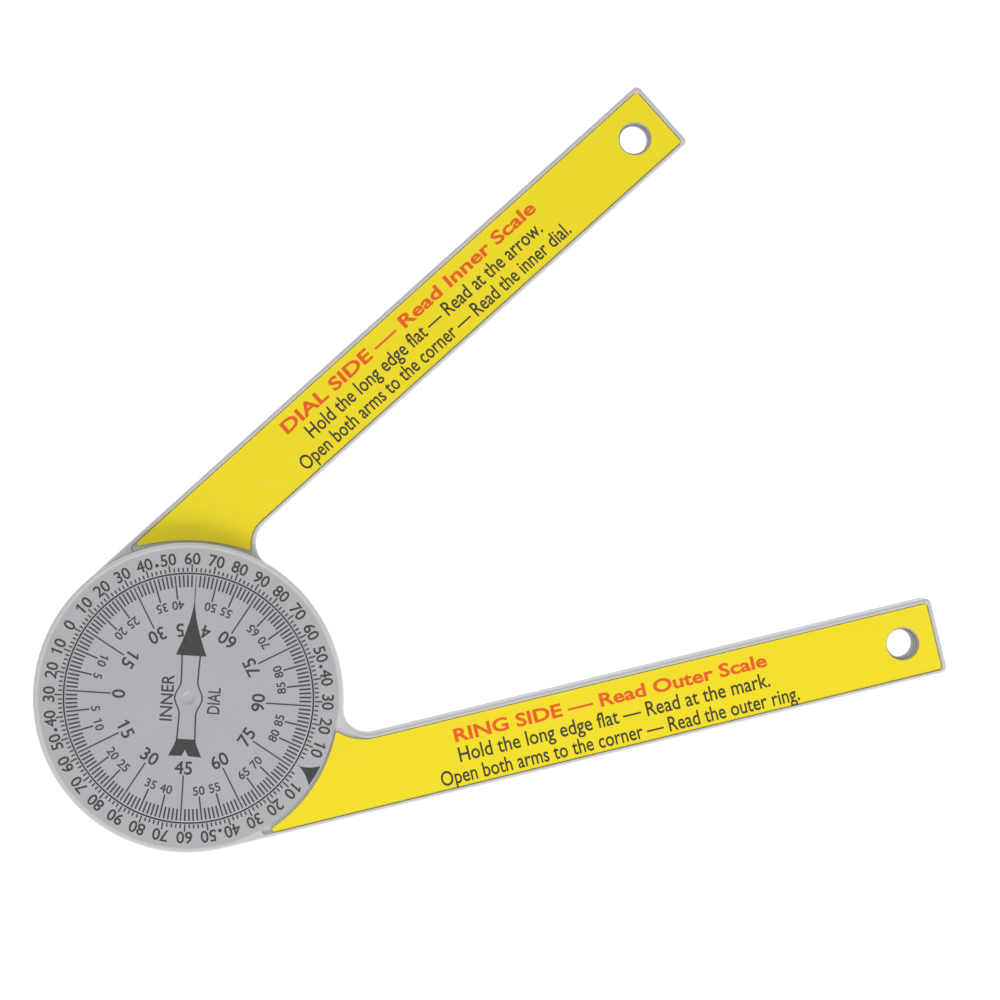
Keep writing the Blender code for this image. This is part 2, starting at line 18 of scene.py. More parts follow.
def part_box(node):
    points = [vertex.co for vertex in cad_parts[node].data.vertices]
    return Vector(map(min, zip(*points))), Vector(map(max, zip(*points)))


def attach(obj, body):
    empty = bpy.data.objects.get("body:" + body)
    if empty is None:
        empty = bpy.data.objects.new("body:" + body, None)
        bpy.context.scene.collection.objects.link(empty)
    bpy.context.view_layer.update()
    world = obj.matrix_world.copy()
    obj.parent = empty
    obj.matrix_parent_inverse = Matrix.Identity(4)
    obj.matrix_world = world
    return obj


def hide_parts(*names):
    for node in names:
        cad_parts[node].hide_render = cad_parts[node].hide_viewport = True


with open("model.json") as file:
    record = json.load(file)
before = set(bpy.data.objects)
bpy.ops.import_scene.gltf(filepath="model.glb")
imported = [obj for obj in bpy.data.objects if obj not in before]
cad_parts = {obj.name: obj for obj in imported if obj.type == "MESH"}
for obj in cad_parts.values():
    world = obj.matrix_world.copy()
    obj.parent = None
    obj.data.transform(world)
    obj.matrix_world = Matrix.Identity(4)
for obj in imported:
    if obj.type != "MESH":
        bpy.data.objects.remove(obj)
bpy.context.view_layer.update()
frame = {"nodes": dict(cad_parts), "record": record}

# %% [markdown]
# The driving sizes are read from the engineering model, so the new pieces fit it. A node's box
# gives its lowest and highest corner. The ring arm lies along +X, so its box gives the hub's radius
# and the arm's reach at once. The dial arm is drawn along +X too, and is turned about the pivot as
# the last step; the direction of its measuring edge gives the angle. Sizes that no box shows, such
# as a wall or a round, are named here with the engineering model's own values.

# %% Read the driving sizes from the model
MM = 0.001
shell_low, shell_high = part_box("ring_arm_shell")
label_low, label_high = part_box("ring_arm_label")
cover_low, cover_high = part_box("ring_arm_cover")
dial_low, dial_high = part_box("inner_dial")
cap_low, cap_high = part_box("hub_cap")

HUB_RADIUS = round(-shell_low.y, 5)
ARM_REACH = round(shell_high.x, 5)
RING_TOP = round(shell_high.z, 5)
DIAL_ARM_TOP = round(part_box("dial_arm_shell")[1].z, 5)
DIAL_RADIUS = round(dial_high.y, 5)
CAP_RADIUS = round(cap_high.y, 5)
COVER_TOP = round(cover_high.z, 5)
LABEL_EDGE = round(label_low.y + HUB_RADIUS, 6)
LABEL_TOP_DROP = round(RING_TOP - label_high.z, 6)
LABEL_THICKNESS = round(label_high.z - label_low.z, 6)
COVER_EDGE = round(cover_low.y + HUB_RADIUS, 6)

edge_mount = next(m for m in frame["record"]["mounts"] if m["name"] == "dial_arm_edge")
OPEN_ANGLE = math.atan2(-edge_mount["axis"][0], edge_mount["axis"][1])

ARM_WIDTH = 15.875 * MM
ROOT_FILLET = 5.0 * MM
TIP_CORNER = 1.2 * MM
FACE_ROUND = 0.6 * MM
BACK_ROUND = 0.4 * MM
CUT_ROUND = 0.14 * MM
RIM = 0.9 * MM
POCKET_DEPTH = 0.7 * MM
RING_THICKNESS = 3.4 * MM
LIP_THICKNESS = 1.6 * MM
LIP_WIDTH = 5.0 * MM
GAP = 0.3 * MM
SWEEP_GAP = 0.4 * MM
RING_UNDERSIDE = RING_TOP - RING_THICKNESS
LIP_TOP = RING_UNDERSIDE + LIP_THICKNESS
SWEEP = HUB_RADIUS + SWEEP_GAP
print("hub radius", HUB_RADIUS, "reach", ARM_REACH, "dial radius", DIAL_RADIUS)
print("label edge", LABEL_EDGE, "label below rim", LABEL_TOP_DROP, "cover edge", COVER_EDGE)
print("arms stand open by", round(math.degrees(OPEN_ANGLE), 2), "degrees")

# %% [markdown]
# The tool is looked at from almost straight above, from far away, so its shapes hardly taper.
# A long lens does that. The floor is a large pale sheet; it's pale because the tool is light grey,
# and a soft white room keeps the plastic from looking dirty. A broad soft light from the front,
# a little to the right, gives the rims a bright side and a shaded side.

# %% Helpers for selecting and editing
def only(*pieces):
    """Leave edit mode, and make these the only selected pieces."""
    if bpy.context.object is not None and bpy.context.object.mode != "OBJECT":
        bpy.ops.object.mode_set(mode="OBJECT")
    bpy.ops.object.select_all(action="DESELECT")
    for piece in pieces:
        piece.select_set(True)
        bpy.context.view_layer.objects.active = piece


def fresh(name):
    """Name the primitive that was just added, and put its place into its mesh."""
    bpy.ops.object.transform_apply(location=True, rotation=True, scale=True)
    piece = bpy.context.object
    piece.name = name
    piece.data.name = name
    return piece


def choose(piece, kind, wanted):
    """Open a piece in edit mode, with only the wanted faces or edges selected."""
    only(piece)
    bpy.ops.object.mode_set(mode="EDIT")
    bpy.ops.mesh.select_mode(type=kind)
    bpy.ops.mesh.select_all(action="DESELECT")
    bm = bmesh.from_edit_mesh(piece.data)
    for item in {"FACE": bm.faces, "EDGE": bm.edges}[kind]:
        if wanted(item):
            item.select_set(True)
    bmesh.update_edit_mesh(piece.data)


def close_edit():
    bpy.ops.object.mode_set(mode="OBJECT")


def face_outwards(piece):
    choose(piece, "FACE", lambda face: True)
    bpy.ops.mesh.normals_make_consistent(inside=False)
    close_edit()


only()
print("helpers ready; nothing is selected")

# %% Camera, floor and soft light
CAMERA_PLACE = Vector((0.0175, 0.0403, 1.5238))
CAMERA_AIM = Vector((0.0714, 0.0243, 0.0140))
PICTURE_RIGHT = Vector((0.9711, -0.2357, 0.0371))

backward = (CAMERA_PLACE - CAMERA_AIM).normalized()
right = (PICTURE_RIGHT - backward * PICTURE_RIGHT.dot(backward)).normalized()
upward = backward.cross(right)
lens = bpy.data.cameras.new("long_lens")
lens.lens = 266
lens.sensor_width = 36
lens.clip_start = 0.1
lens.clip_end = 10
camera = bpy.data.objects.new("camera", lens)
facing = Matrix((right, upward, backward)).transposed().to_4x4()
camera.matrix_world = Matrix.Translation(CAMERA_PLACE) @ facing
bpy.context.scene.collection.objects.link(camera)
bpy.context.scene.camera = camera

bpy.ops.mesh.primitive_plane_add(size=6, location=(0.06, 0.03, 0))
floor = fresh("floor")


def softbox(name, place, size, watts):
    """A square of soft light that faces the middle of the tool."""
    lamp = bpy.data.lights.new(name, "AREA")
    lamp.shape = "SQUARE"
    lamp.size = size
    lamp.energy = watts
    holder = bpy.data.objects.new(name, lamp)
    holder.location = place
    aim = Vector((0.07, 0.02, 0)) - Vector(place)
    holder.rotation_euler = aim.to_track_quat("-Z", "Y").to_euler()
    bpy.context.scene.collection.objects.link(holder)


softbox("key_light", (0.25, -0.85, 0.5), 0.6, 7.4)
softbox("top_light", (-0.2, 0.3, 1.1), 0.9, 2.6)

room = bpy.data.worlds.new("white_room")
room.use_nodes = True
room.node_tree.nodes["Background"].inputs["Color"].default_value = (1.0, 1.0, 1.0, 1)
room.node_tree.nodes["Background"].inputs["Strength"].default_value = 0.47
bpy.context.scene.world = room
bpy.context.scene.view_settings.view_transform = "Standard"
print("camera", [round(x, 3) for x in camera.location], "lens", lens.lens, "mm")

# %% [markdown]
# Each arm is one flat outline given a height: a hub disc, a straight bar that leaves it at a
# tangent, a round fillet on the inner side, and two nearly square corners at the tip. It could be
# a disc and a block joined by a Boolean, but then the fillet would need a patch. Here the outline
# is drawn like a pen line instead: straight runs are extruded from the last point and arcs are
# spun round their centre. So every arc is a true arc that meets its neighbour smoothly.

# %% A pen that draws outlines
class Pen:
    """Draws a closed outline in edit mode, anticlockwise, then gives it a height."""

    def __init__(self, name, start, level):
        bpy.ops.object.select_all(action="DESELECT")
        bpy.ops.mesh.primitive_plane_add(size=MM, location=(start[0], start[1], level))
        self.piece = fresh(name)
        self.level = level
        self.at = Vector(start)
        bpy.ops.object.mode_set(mode="EDIT")
        bpy.ops.mesh.select_mode(type="VERT")
        bpy.ops.mesh.select_all(action="SELECT")
        bpy.ops.mesh.merge(type="CENTER")

    def line(self, x, y):
        step = Vector((x, y)) - self.at
        bpy.ops.mesh.extrude_vertices_move(TRANSFORM_OT_translate={"value": (step.x, step.y, 0)})
        self.at = Vector((x, y))

    def arc(self, centre, angle, steps):
        """Turn the last point about a centre; a positive angle is anticlockwise."""
        bpy.ops.mesh.spin(steps=steps, angle=angle, center=(centre[0], centre[1], self.level),
                          axis=(0, 0, -1))
        middle = Vector(centre)
        self.at = middle + Matrix.Rotation(angle, 2) @ (self.at - middle)

    def fill(self, height):
        """Join the ends, fill the outline and raise it into a solid."""
        bpy.ops.mesh.select_all(action="SELECT")
        bpy.ops.mesh.remove_doubles(threshold=0.002 * MM)
        bpy.ops.mesh.edge_face_add()
        bpy.ops.mesh.extrude_region_move(TRANSFORM_OT_translate={"value": (0, 0, height)})
        close_edit()
        face_outwards(self.piece)
        return self.piece


FILLET_X_Y = HUB_RADIUS - ARM_WIDTH - ROOT_FILLET
FILLET_CENTRE = Vector((math.sqrt((HUB_RADIUS + ROOT_FILLET) ** 2 - FILLET_X_Y ** 2), -FILLET_X_Y))
FILLET_BEARING = math.atan2(-FILLET_CENTRE.y, FILLET_CENTRE.x)


def draw_arm(name, inset, level, height, hub_steps=180):
    """The whole arm on the -Y side: bar, fillet and hub."""
    hub = HUB_RADIUS - inset
    inner_y = -(HUB_RADIUS - ARM_WIDTH + inset)
    tip_x = ARM_REACH - inset
    corner = max(TIP_CORNER - inset, 0.4 * MM)
    pen = Pen(name, (0, -hub), level)
    pen.line(tip_x - corner, -hub)
    pen.arc((tip_x - corner, -hub + corner), math.pi / 2, 6)
    pen.line(tip_x, inner_y - corner)
    pen.arc((tip_x - corner, inner_y - corner), math.pi / 2, 6)
    pen.line(FILLET_CENTRE.x, inner_y)
    pen.arc(FILLET_CENTRE, -(math.pi / 2 + FILLET_BEARING), 16)
    pen.arc((0, 0), math.pi * 1.5 + FILLET_BEARING, hub_steps)
    return pen.fill(height)


def bearing_of(vector):
    return math.atan2(vector.y, vector.x)


def draw_window(name, inset, start_radius, corner, level, height, end_centre=(0, 0), fillet=None):
    """The bar alone on the -Y side: what lies outside a circle near the pivot, with round corners."""
    end = Vector(end_centre)
    fillet = fillet or ROOT_FILLET + inset
    fillet_centre = Vector((FILLET_CENTRE.x, -(HUB_RADIUS - ARM_WIDTH + inset) + fillet))
    to_fillet = fillet_centre - end
    outer_y = -(HUB_RADIUS - inset)
    inner_y = -(HUB_RADIUS - ARM_WIDTH + inset)
    tip_x = ARM_REACH - inset
    reach = start_radius + corner
    rise = outer_y + corner - end.y
    outer_corner = end + Vector((math.sqrt(reach ** 2 - rise ** 2), rise))
    spread = math.acos((reach ** 2 + to_fillet.length_squared - (fillet + corner) ** 2)
                       / (2 * reach * to_fillet.length))
    bearing = bearing_of(to_fillet) - spread
    inner_corner = end + reach * Vector((math.cos(bearing), math.sin(bearing)))
    along_fillet = -math.pi / 2 - bearing_of(inner_corner - fillet_centre)
    round_inner = bearing_of(end - inner_corner) - bearing_of(fillet_centre - inner_corner)
    round_outer = -math.pi / 2 - bearing_of(end - outer_corner)

    pen = Pen(name, (outer_corner.x, outer_y), level)
    pen.line(tip_x - corner, outer_y)
    pen.arc((tip_x - corner, outer_y + corner), math.pi / 2, 5)
    pen.line(tip_x, inner_y - corner)
    pen.arc((tip_x - corner, inner_y - corner), math.pi / 2, 5)
    pen.line(fillet_centre.x, inner_y)
    pen.arc(fillet_centre, -(along_fillet % math.tau), 12)
    pen.arc(inner_corner, round_inner % math.tau, 8)
    pen.arc(end, bearing_of(outer_corner - end) - bearing, 32)
    pen.arc(outer_corner, round_outer % math.tau, 10)
    return pen.fill(height)


print("fillet centre, mm:", [round(x / MM, 2) for x in FILLET_CENTRE])

# %% [markdown]
# Moulded plastic has no razor edges, and a round edge is what catches the light. The outer rims
# are bevelled while the outline is still a plain solid, because a bevel runs cleanly there. The
# pockets, bores and hollows are cut out afterwards, all in one Boolean for each arm, and the new
# edges around them get a much smaller bevel of their own.

# %% Cutting, bevelling and shading helpers
def soften_rims(piece, level, radius, segments):
    """Bevel the outline's edges at one height."""
    def at_level(edge):
        return all(abs(vert.co.z - level) < 1e-6 for vert in edge.verts)

    choose(piece, "EDGE", at_level)
    bpy.ops.mesh.bevel(offset=radius, segments=segments, affect="EDGES", clamp_overlap=False)
    close_edit()


def soften_cut_edges(piece, level, radius, segments):
    """Bevel the sharp edges between a face at one height and the walls that go away from it."""
    def at_cut(edge):
        flat = all(abs(vert.co.z - level) < 1e-6 for vert in edge.verts)
        return flat and any(abs(face.normal.z) < 0.2 for face in edge.link_faces)

    choose(piece, "EDGE", at_cut)
    bpy.ops.mesh.bevel(offset=radius, segments=segments, affect="EDGES", clamp_overlap=False)
    close_edit()


def boolean(piece, operation, tools):
    """One Boolean with a group of tools, which are thrown away afterwards."""
    group = bpy.data.collections.new("tools")
    for tool in tools:
        group.objects.link(tool)
    step = piece.modifiers.new("cut", "BOOLEAN")
    step.operation = operation
    step.solver = "EXACT"
    step.operand_type = "COLLECTION"
    step.collection = group
    only(piece)
    bpy.ops.object.modifier_apply(modifier=step.name)
    for tool in tools:
        bpy.data.objects.remove(tool)
    bpy.data.collections.remove(group)
    choose(piece, "FACE", lambda face: True)
    bpy.ops.mesh.remove_doubles(threshold=0.003 * MM)
    close_edit()
    return piece


def rod(name, radius, low, high, centre=(0, 0), steps=64):
    """A plain round tool for cutting, between two heights."""
    bpy.ops.object.select_all(action="DESELECT")
    bpy.ops.mesh.primitive_cylinder_add(vertices=steps, radius=radius, depth=high - low,
                                        location=(centre[0], centre[1], (low + high) / 2))
    return fresh(name)


def block(name, low, high):
    """A plain box tool between two corners."""
    bpy.ops.object.select_all(action="DESELECT")
    middle = (Vector(low) + Vector(high)) / 2
    bpy.ops.mesh.primitive_cube_add(size=1, location=middle)
    bpy.context.object.scale = Vector(high) - Vector(low)
    return fresh(name)


def shade(piece, angle=35):
    """Smooth shading that leaves big flats flat and real edges crisp."""
    only(piece)
    bpy.ops.object.shade_smooth_by_angle(angle=math.radians(angle))
    weigh = piece.modifiers.new("weigh", "WEIGHTED_NORMAL")
    weigh.keep_sharp = True
    bpy.ops.object.modifier_apply(modifier=weigh.name)


def to_dial_arm_side(*pieces):
    """Turn pieces drawn on the -Y side over to +Y, and open them to the dial arm's angle."""
    for piece in pieces:
        only(piece)
        piece.scale.y = -1
        bpy.ops.object.transform_apply(location=False, rotation=False, scale=True)
        face_outwards(piece)
        open_up(piece)


def set_down(piece, x=0.0, y=0.0, turn=0.0):
    """Turn and move a piece, and keep that in its mesh."""
    only(piece)
    piece.location = (x, y, 0)
    piece.rotation_euler.z = turn
    bpy.ops.object.transform_apply(location=True, rotation=True, scale=False)


def open_up(piece):
    """Turn a piece about the pivot by the angle between the arms."""
    set_down(piece, turn=OPEN_ANGLE)


print("cutting helpers ready")

# %% [markdown]
# The ring arm is the tall moulding. Its bar has the tool's full height, but its hub is only a
# ring: under it there has to be room for the dial arm's hub, and inside it for the dial. The
# hollow behind its face has posts for three screws and a tube round the hanging hole.

# %% Sizes that both arms share
MARGIN = 1.0 * MM
WALL = COVER_EDGE - GAP
COVER_SEAT = COVER_TOP + GAP
SKIN = 1.4 * MM
HOLE_FROM_TIP = 7.7 * MM
HOLE_CENTRE = (ARM_REACH - HOLE_FROM_TIP, -(HUB_RADIUS - ARM_WIDTH / 2))
HOLE_FRONT = 3.25 * MM
HOLE_BACK = 2.90 * MM
HOLE_STEP_DEPTH = 5.0 * MM
HOLE_WALL = 1.5 * MM
PILOT = 1.2 * MM
PILOT_TOP = 6.45 * MM
BOSS = 2.6 * MM


def middle_of(node):
    low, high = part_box(node)
    return (low + high) / 2


ring_screws = [middle_of(f"ring_cover_screw_{i}") for i in (1, 2, 3)]
arm_screw_spots = [(spot.x, spot.y) for spot in ring_screws]
hub_screw_spots = []
for number in (4, 5):
    spot = middle_of(f"dial_cover_screw_{number}").copy()
    spot.rotate(Euler((0, 0, -OPEN_ANGLE)))
    hub_screw_spots.append((spot.x, -spot.y))
print("screws along an arm, mm:", [round(x / MM, 1) for x, y in arm_screw_spots])


# %% Tools for the hollow, the hanging hole and the label's pocket
def hollow_tool(outline, ceiling, spots, extra_posts=()):
    """The hollow of an arm, with its posts left standing."""
    posts = [rod("post", BOSS, COVER_SEAT, ceiling + MARGIN, spot, 32) for spot in spots]
    posts.append(rod("tube", HOLE_FRONT + HOLE_WALL, COVER_SEAT, ceiling + MARGIN, HOLE_CENTRE))
    return boolean(outline, "DIFFERENCE", posts + list(extra_posts))


def hanging_hole_tools(top):
    step = top - HOLE_STEP_DEPTH
    return [rod("front", HOLE_FRONT, step, top + MARGIN, HOLE_CENTRE),
            rod("back", HOLE_BACK, -MARGIN, step + MARGIN / 2, HOLE_CENTRE)]


def pilot_tools(spots):
    return [rod("pilot", PILOT, -MARGIN, PILOT_TOP, spot, 32) for spot in spots]


# %% Ring arm casing
ring_casing = draw_arm("ring_arm_casing", 0, 0, RING_TOP)
soften_rims(ring_casing, RING_TOP, FACE_ROUND, 4)
soften_rims(ring_casing, 0, BACK_ROUND, 3)

RING_LEDGE = 1.2 * MM
BLUNT_EDGE = 1.2 * MM
DIAL_BORE = DIAL_RADIUS + GAP
LIP_BORE = DIAL_BORE - LIP_WIDTH
blunt_x = math.sqrt((SWEEP + BLUNT_EDGE) ** 2 - HUB_RADIUS ** 2)
blunt_y = FILLET_CENTRE.y - ROOT_FILLET / 2
ring_ceiling = RING_TOP - POCKET_DEPTH - SKIN
ring_hollow = hollow_tool(draw_window("hollow", WALL, SWEEP + WALL, 0.7 * MM, -MARGIN,
                                      ring_ceiling + MARGIN), ring_ceiling, arm_screw_spots)
boolean(ring_casing, "DIFFERENCE", [
    rod("hub_room", SWEEP, -MARGIN, RING_UNDERSIDE, steps=180),
    block("outer_trim", (0, -ARM_REACH, -MARGIN), (blunt_x, 0, RING_UNDERSIDE)),
    block("inner_trim", (0, blunt_y, -MARGIN), (ARM_REACH, ARM_REACH, RING_UNDERSIDE)),
    rod("lip_bore", LIP_BORE, RING_UNDERSIDE - MARGIN, RING_TOP + MARGIN, steps=180),
    rod("dial_bore", DIAL_BORE, LIP_TOP, RING_TOP + MARGIN, steps=180),
    draw_window("pocket", RIM, HUB_RADIUS - RING_LEDGE, 0.8 * MM, RING_TOP - POCKET_DEPTH,
                POCKET_DEPTH + MARGIN),
    ring_hollow, *hanging_hole_tools(RING_TOP), *pilot_tools(arm_screw_spots)])
soften_cut_edges(ring_casing, RING_TOP, CUT_ROUND, 2)
shade(ring_casing)
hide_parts("ring_arm_shell")
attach(ring_casing, "ring_arm")
print("ring arm casing:", len(ring_casing.data.polygons), "faces")

# %% [markdown]
# The dial arm is lower, because the ring passes over its hub. It's drawn by the same pen on the
# same side, so both arms are sure to match, and only then turned over to its own side and opened
# to its angle. Its hub holds the pivot: a stepped bore for the dial's post above and the screw
# below, three small sockets for the dial's pegs, and a groove for the slip ring.

# %% Dial arm casing
dial_casing = draw_arm("dial_arm_casing", 0, 0, DIAL_ARM_TOP)
soften_rims(dial_casing, DIAL_ARM_TOP, FACE_ROUND, 4)
soften_rims(dial_casing, 0, BACK_ROUND, 3)

slip_low, slip_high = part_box("slip_ring")
WEB_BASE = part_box("wave_spring")[1].z + GAP
HUB_OVERLAP = 0.4 * MM
POST_BASE = dial_low.z
POST_RADIUS = 4.0 * MM
SHANK_BORE = 1.8 * MM
WELL_RADIUS = 5.5 * MM
TUBE_RADIUS = 8.0 * MM
SLIP_RING_INSET = 1.2 * MM
PEG_CIRCLE = 10.5 * MM
PEG_RADIUS = 1.2 * MM
PEG_DEPTH = 2.0 * MM
dial_ceiling = DIAL_ARM_TOP - POCKET_DEPTH - SKIN
pivot_tube = rod("pivot_tube", TUBE_RADIUS, cap_low.z + 1.3 * MM, dial_ceiling + MARGIN)
dial_hollow = hollow_tool(draw_arm("hollow", WALL, -MARGIN, dial_ceiling + MARGIN, 120), dial_ceiling,
                          arm_screw_spots + hub_screw_spots, [pivot_tube])
groove = rod("groove", slip_high.y + GAP, slip_low.z - GAP, DIAL_ARM_TOP + MARGIN, steps=180)
boolean(groove, "DIFFERENCE", [rod("core", LIP_BORE + SLIP_RING_INSET - GAP, 0, RING_TOP, steps=180)])
sockets = []
for number in range(3):
    bearing = -math.tau * number / 3
    spot = (PEG_CIRCLE * math.cos(bearing), PEG_CIRCLE * math.sin(bearing))
    sockets.append(rod("socket", PEG_RADIUS + GAP, dial_ceiling - MARGIN, DIAL_ARM_TOP + MARGIN, spot, 32))
boolean(dial_casing, "DIFFERENCE", [
    dial_hollow, groove, *sockets,
    rod("well", WELL_RADIUS, -MARGIN, WEB_BASE),
    rod("shank_bore", SHANK_BORE, 0, DIAL_ARM_TOP + MARGIN),
    rod("post_bore", POST_RADIUS + GAP, POST_BASE - GAP, DIAL_ARM_TOP + MARGIN),
    draw_window("pocket", RIM, HUB_RADIUS - HUB_OVERLAP, 1.0 * MM, DIAL_ARM_TOP - POCKET_DEPTH,
                POCKET_DEPTH + MARGIN),
    *hanging_hole_tools(DIAL_ARM_TOP), *pilot_tools(arm_screw_spots + hub_screw_spots)])
soften_cut_edges(dial_casing, DIAL_ARM_TOP, CUT_ROUND, 2)
to_dial_arm_side(dial_casing)
shade(dial_casing)
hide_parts("dial_arm_shell")
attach(dial_casing, "dial_arm")
print("dial arm casing:", len(dial_casing.data.polygons), "faces")

# %% [markdown]
# The yellow plates are thin printed strips, pressed into the pockets. A plate is the pocket's own
# outline, drawn a little smaller, so that the same thin dark line shows all round it. Only its hub
# end differs: it was cut with a sweep of its own, so the gap there isn't even, and the ring arm's
# plate has a wider round at its inner corner.

# %% Label plates
PLATE_GAP = LABEL_EDGE - RIM


def label_plate(name, top, start_radius, end_centre, fillet=None):
    """A thin plate with a hole for the hook and a slightly rounded upper edge."""
    plate = draw_window(name, LABEL_EDGE, start_radius, 0.5 * MM, top - LABEL_THICKNESS, LABEL_THICKNESS,
                        end_centre, fillet)
    hole = rod("hole", HOLE_FRONT + PLATE_GAP, top - MARGIN, top + MARGIN, HOLE_CENTRE, 96)
    boolean(plate, "DIFFERENCE", [hole])
    soften_cut_edges(plate, top, 0.06 * MM, 2)
    return plate


ring_plate = label_plate("ring_arm_plate", RING_TOP - LABEL_TOP_DROP, 30.25 * MM, (0, -1.4 * MM),
                         10.2 * MM)
shade(ring_plate)
dial_plate = label_plate("dial_arm_plate", DIAL_ARM_TOP - LABEL_TOP_DROP, 42.15 * MM,
                         (-7.07 * MM, 7.07 * MM))
to_dial_arm_side(dial_plate)
shade(dial_plate)
for plate, node, body in ((ring_plate, "ring_arm_label", "ring_arm"),
                          (dial_plate, "dial_arm_label", "dial_arm")):
    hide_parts(node)
    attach(plate, body)
print("plates:", len(ring_plate.data.polygons), "and", len(dial_plate.data.polygons), "faces")

# %% [markdown]
# The dial, the hub cap and the screws are all round, so each is half of its own section, turned
# about its axis. The section is drawn point by point with extrude, and spin makes the round.

# %% Turning a section
def turned(name, section, steps, centre=(0, 0)):
    """Spin a section of (radius, height) points about an upright axis."""
    bpy.ops.object.select_all(action="DESELECT")
    bpy.ops.mesh.primitive_plane_add(size=MM, location=(section[0][0], 0, section[0][1]))
    piece = fresh(name)
    bpy.ops.object.mode_set(mode="EDIT")
    bpy.ops.mesh.select_mode(type="VERT")
    bpy.ops.mesh.select_all(action="SELECT")
    bpy.ops.mesh.merge(type="CENTER")
    for (r0, z0), (r1, z1) in zip(section, section[1:]):
        bpy.ops.mesh.extrude_vertices_move(TRANSFORM_OT_translate={"value": (r1 - r0, 0, z1 - z0)})
    bpy.ops.mesh.select_all(action="SELECT")
    bpy.ops.mesh.spin(steps=steps, angle=math.tau, center=(0, 0, 0), axis=(0, 0, 1))
    bpy.ops.mesh.select_all(action="SELECT")
    bpy.ops.mesh.remove_doubles(threshold=0.002 * MM)
    close_edit()
    face_outwards(piece)
    piece.location = (centre[0], centre[1], 0)
    bpy.ops.object.transform_apply(location=True, rotation=False, scale=False)
    return piece


def quarter(centre, radius, start, steps=4):
    """Points of a quarter round in a section, from a start angle in degrees, clockwise."""
    points = []
    for step in range(steps + 1):
        angle = math.radians(start - 90 * step / steps)
        points.append((centre[0] + radius * math.cos(angle), centre[1] + radius * math.sin(angle)))
    return points


# %% The dial
DIAL_UNDERSIDE = LIP_TOP + GAP
BOSS_RADIUS = LIP_BORE - GAP
DIMPLE_DEPTH = 0.25 * MM
SCREW_HOLE_TOP = RING_TOP - 1.6 * MM
edge = 0.2 * MM
section = [(0, RING_TOP - DIMPLE_DEPTH), (0.75 * MM, RING_TOP - DIMPLE_DEPTH),
           (1.1 * MM, RING_TOP - 0.18 * MM), (1.35 * MM, RING_TOP - 0.03 * MM), (1.5 * MM, RING_TOP)]
section += quarter((DIAL_RADIUS - edge, RING_TOP - edge), edge, 90)
section += [(DIAL_RADIUS, DIAL_UNDERSIDE), (BOSS_RADIUS, DIAL_UNDERSIDE),
            (BOSS_RADIUS, DIAL_ARM_TOP + GAP), (POST_RADIUS, DIAL_ARM_TOP + GAP), (POST_RADIUS, POST_BASE),
            (SHANK_BORE, POST_BASE), (SHANK_BORE, SCREW_HOLE_TOP), (0, SCREW_HOLE_TOP)]
dial = turned("dial_disc", section, 180)
pegs = []
for number in range(3):
    bearing = math.tau * number / 3
    spot = (PEG_CIRCLE * math.cos(bearing), PEG_CIRCLE * math.sin(bearing))
    pegs.append(rod("peg", PEG_RADIUS, DIAL_ARM_TOP - PEG_DEPTH, DIAL_ARM_TOP + GAP + MARGIN, spot, 32))
boolean(dial, "UNION", pegs)
open_up(dial)
shade(dial)
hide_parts("inner_dial")
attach(dial, "dial_arm")
print("dial:", len(dial.data.polygons), "faces")

# %% [markdown]
# Seen from behind, each arm is closed by a thin cover. Its screws sit in sunk seats, and the
# hanging hole goes right through. The covers stand a hair inside the casing walls all round.

# %% Rear covers
SEAT_DEPTH = 1.35 * MM
SEAT_RADIUS = 2.0 * MM
CAP_TUBE_BORE = 8.3 * MM


def seat_tool(spot):
    """The stepped hole for one cover screw."""
    return turned("drill", [(0, -MARGIN), (SEAT_RADIUS, -MARGIN), (SEAT_RADIUS, SEAT_DEPTH),
                            (PILOT, SEAT_DEPTH), (PILOT, COVER_TOP + MARGIN), (0, COVER_TOP + MARGIN)],
                  40, spot)


def finish_cover(cover, spots, extra_tools=()):
    soften_rims(cover, 0, 0.2 * MM, 2)
    boolean(cover, "DIFFERENCE", [seat_tool(spot) for spot in spots]
            + [rod("hole", HOLE_BACK, -MARGIN, COVER_TOP + MARGIN, HOLE_CENTRE)] + list(extra_tools))
    soften_cut_edges(cover, 0, 0.1 * MM, 1)


ring_cover = draw_window("ring_arm_back", COVER_EDGE, SWEEP + COVER_EDGE, 0.8 * MM, 0, COVER_TOP)
finish_cover(ring_cover, arm_screw_spots)
shade(ring_cover)

CAP_TOP = cap_low.z + 1.0 * MM
dial_cover = draw_arm("dial_arm_back", COVER_EDGE, 0, COVER_TOP, 120)
mouth = turned("mouth", [(0, -MARGIN), (CAP_RADIUS + GAP, -MARGIN), (CAP_RADIUS + GAP, CAP_TOP),
                         (CAP_TUBE_BORE, CAP_TOP), (CAP_TUBE_BORE, COVER_TOP + MARGIN),
                         (0, COVER_TOP + MARGIN)], 96)
finish_cover(dial_cover, arm_screw_spots + hub_screw_spots, [mouth])
to_dial_arm_side(dial_cover)
shade(dial_cover)
for cover, node, body in ((ring_cover, "ring_arm_cover", "ring_arm"),
                          (dial_cover, "dial_arm_cover", "dial_arm")):
    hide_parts(node)
    body + "_plastic"
    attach(cover, body)
print("covers:", len(ring_cover.data.polygons), "and", len(dial_cover.data.polygons), "faces")

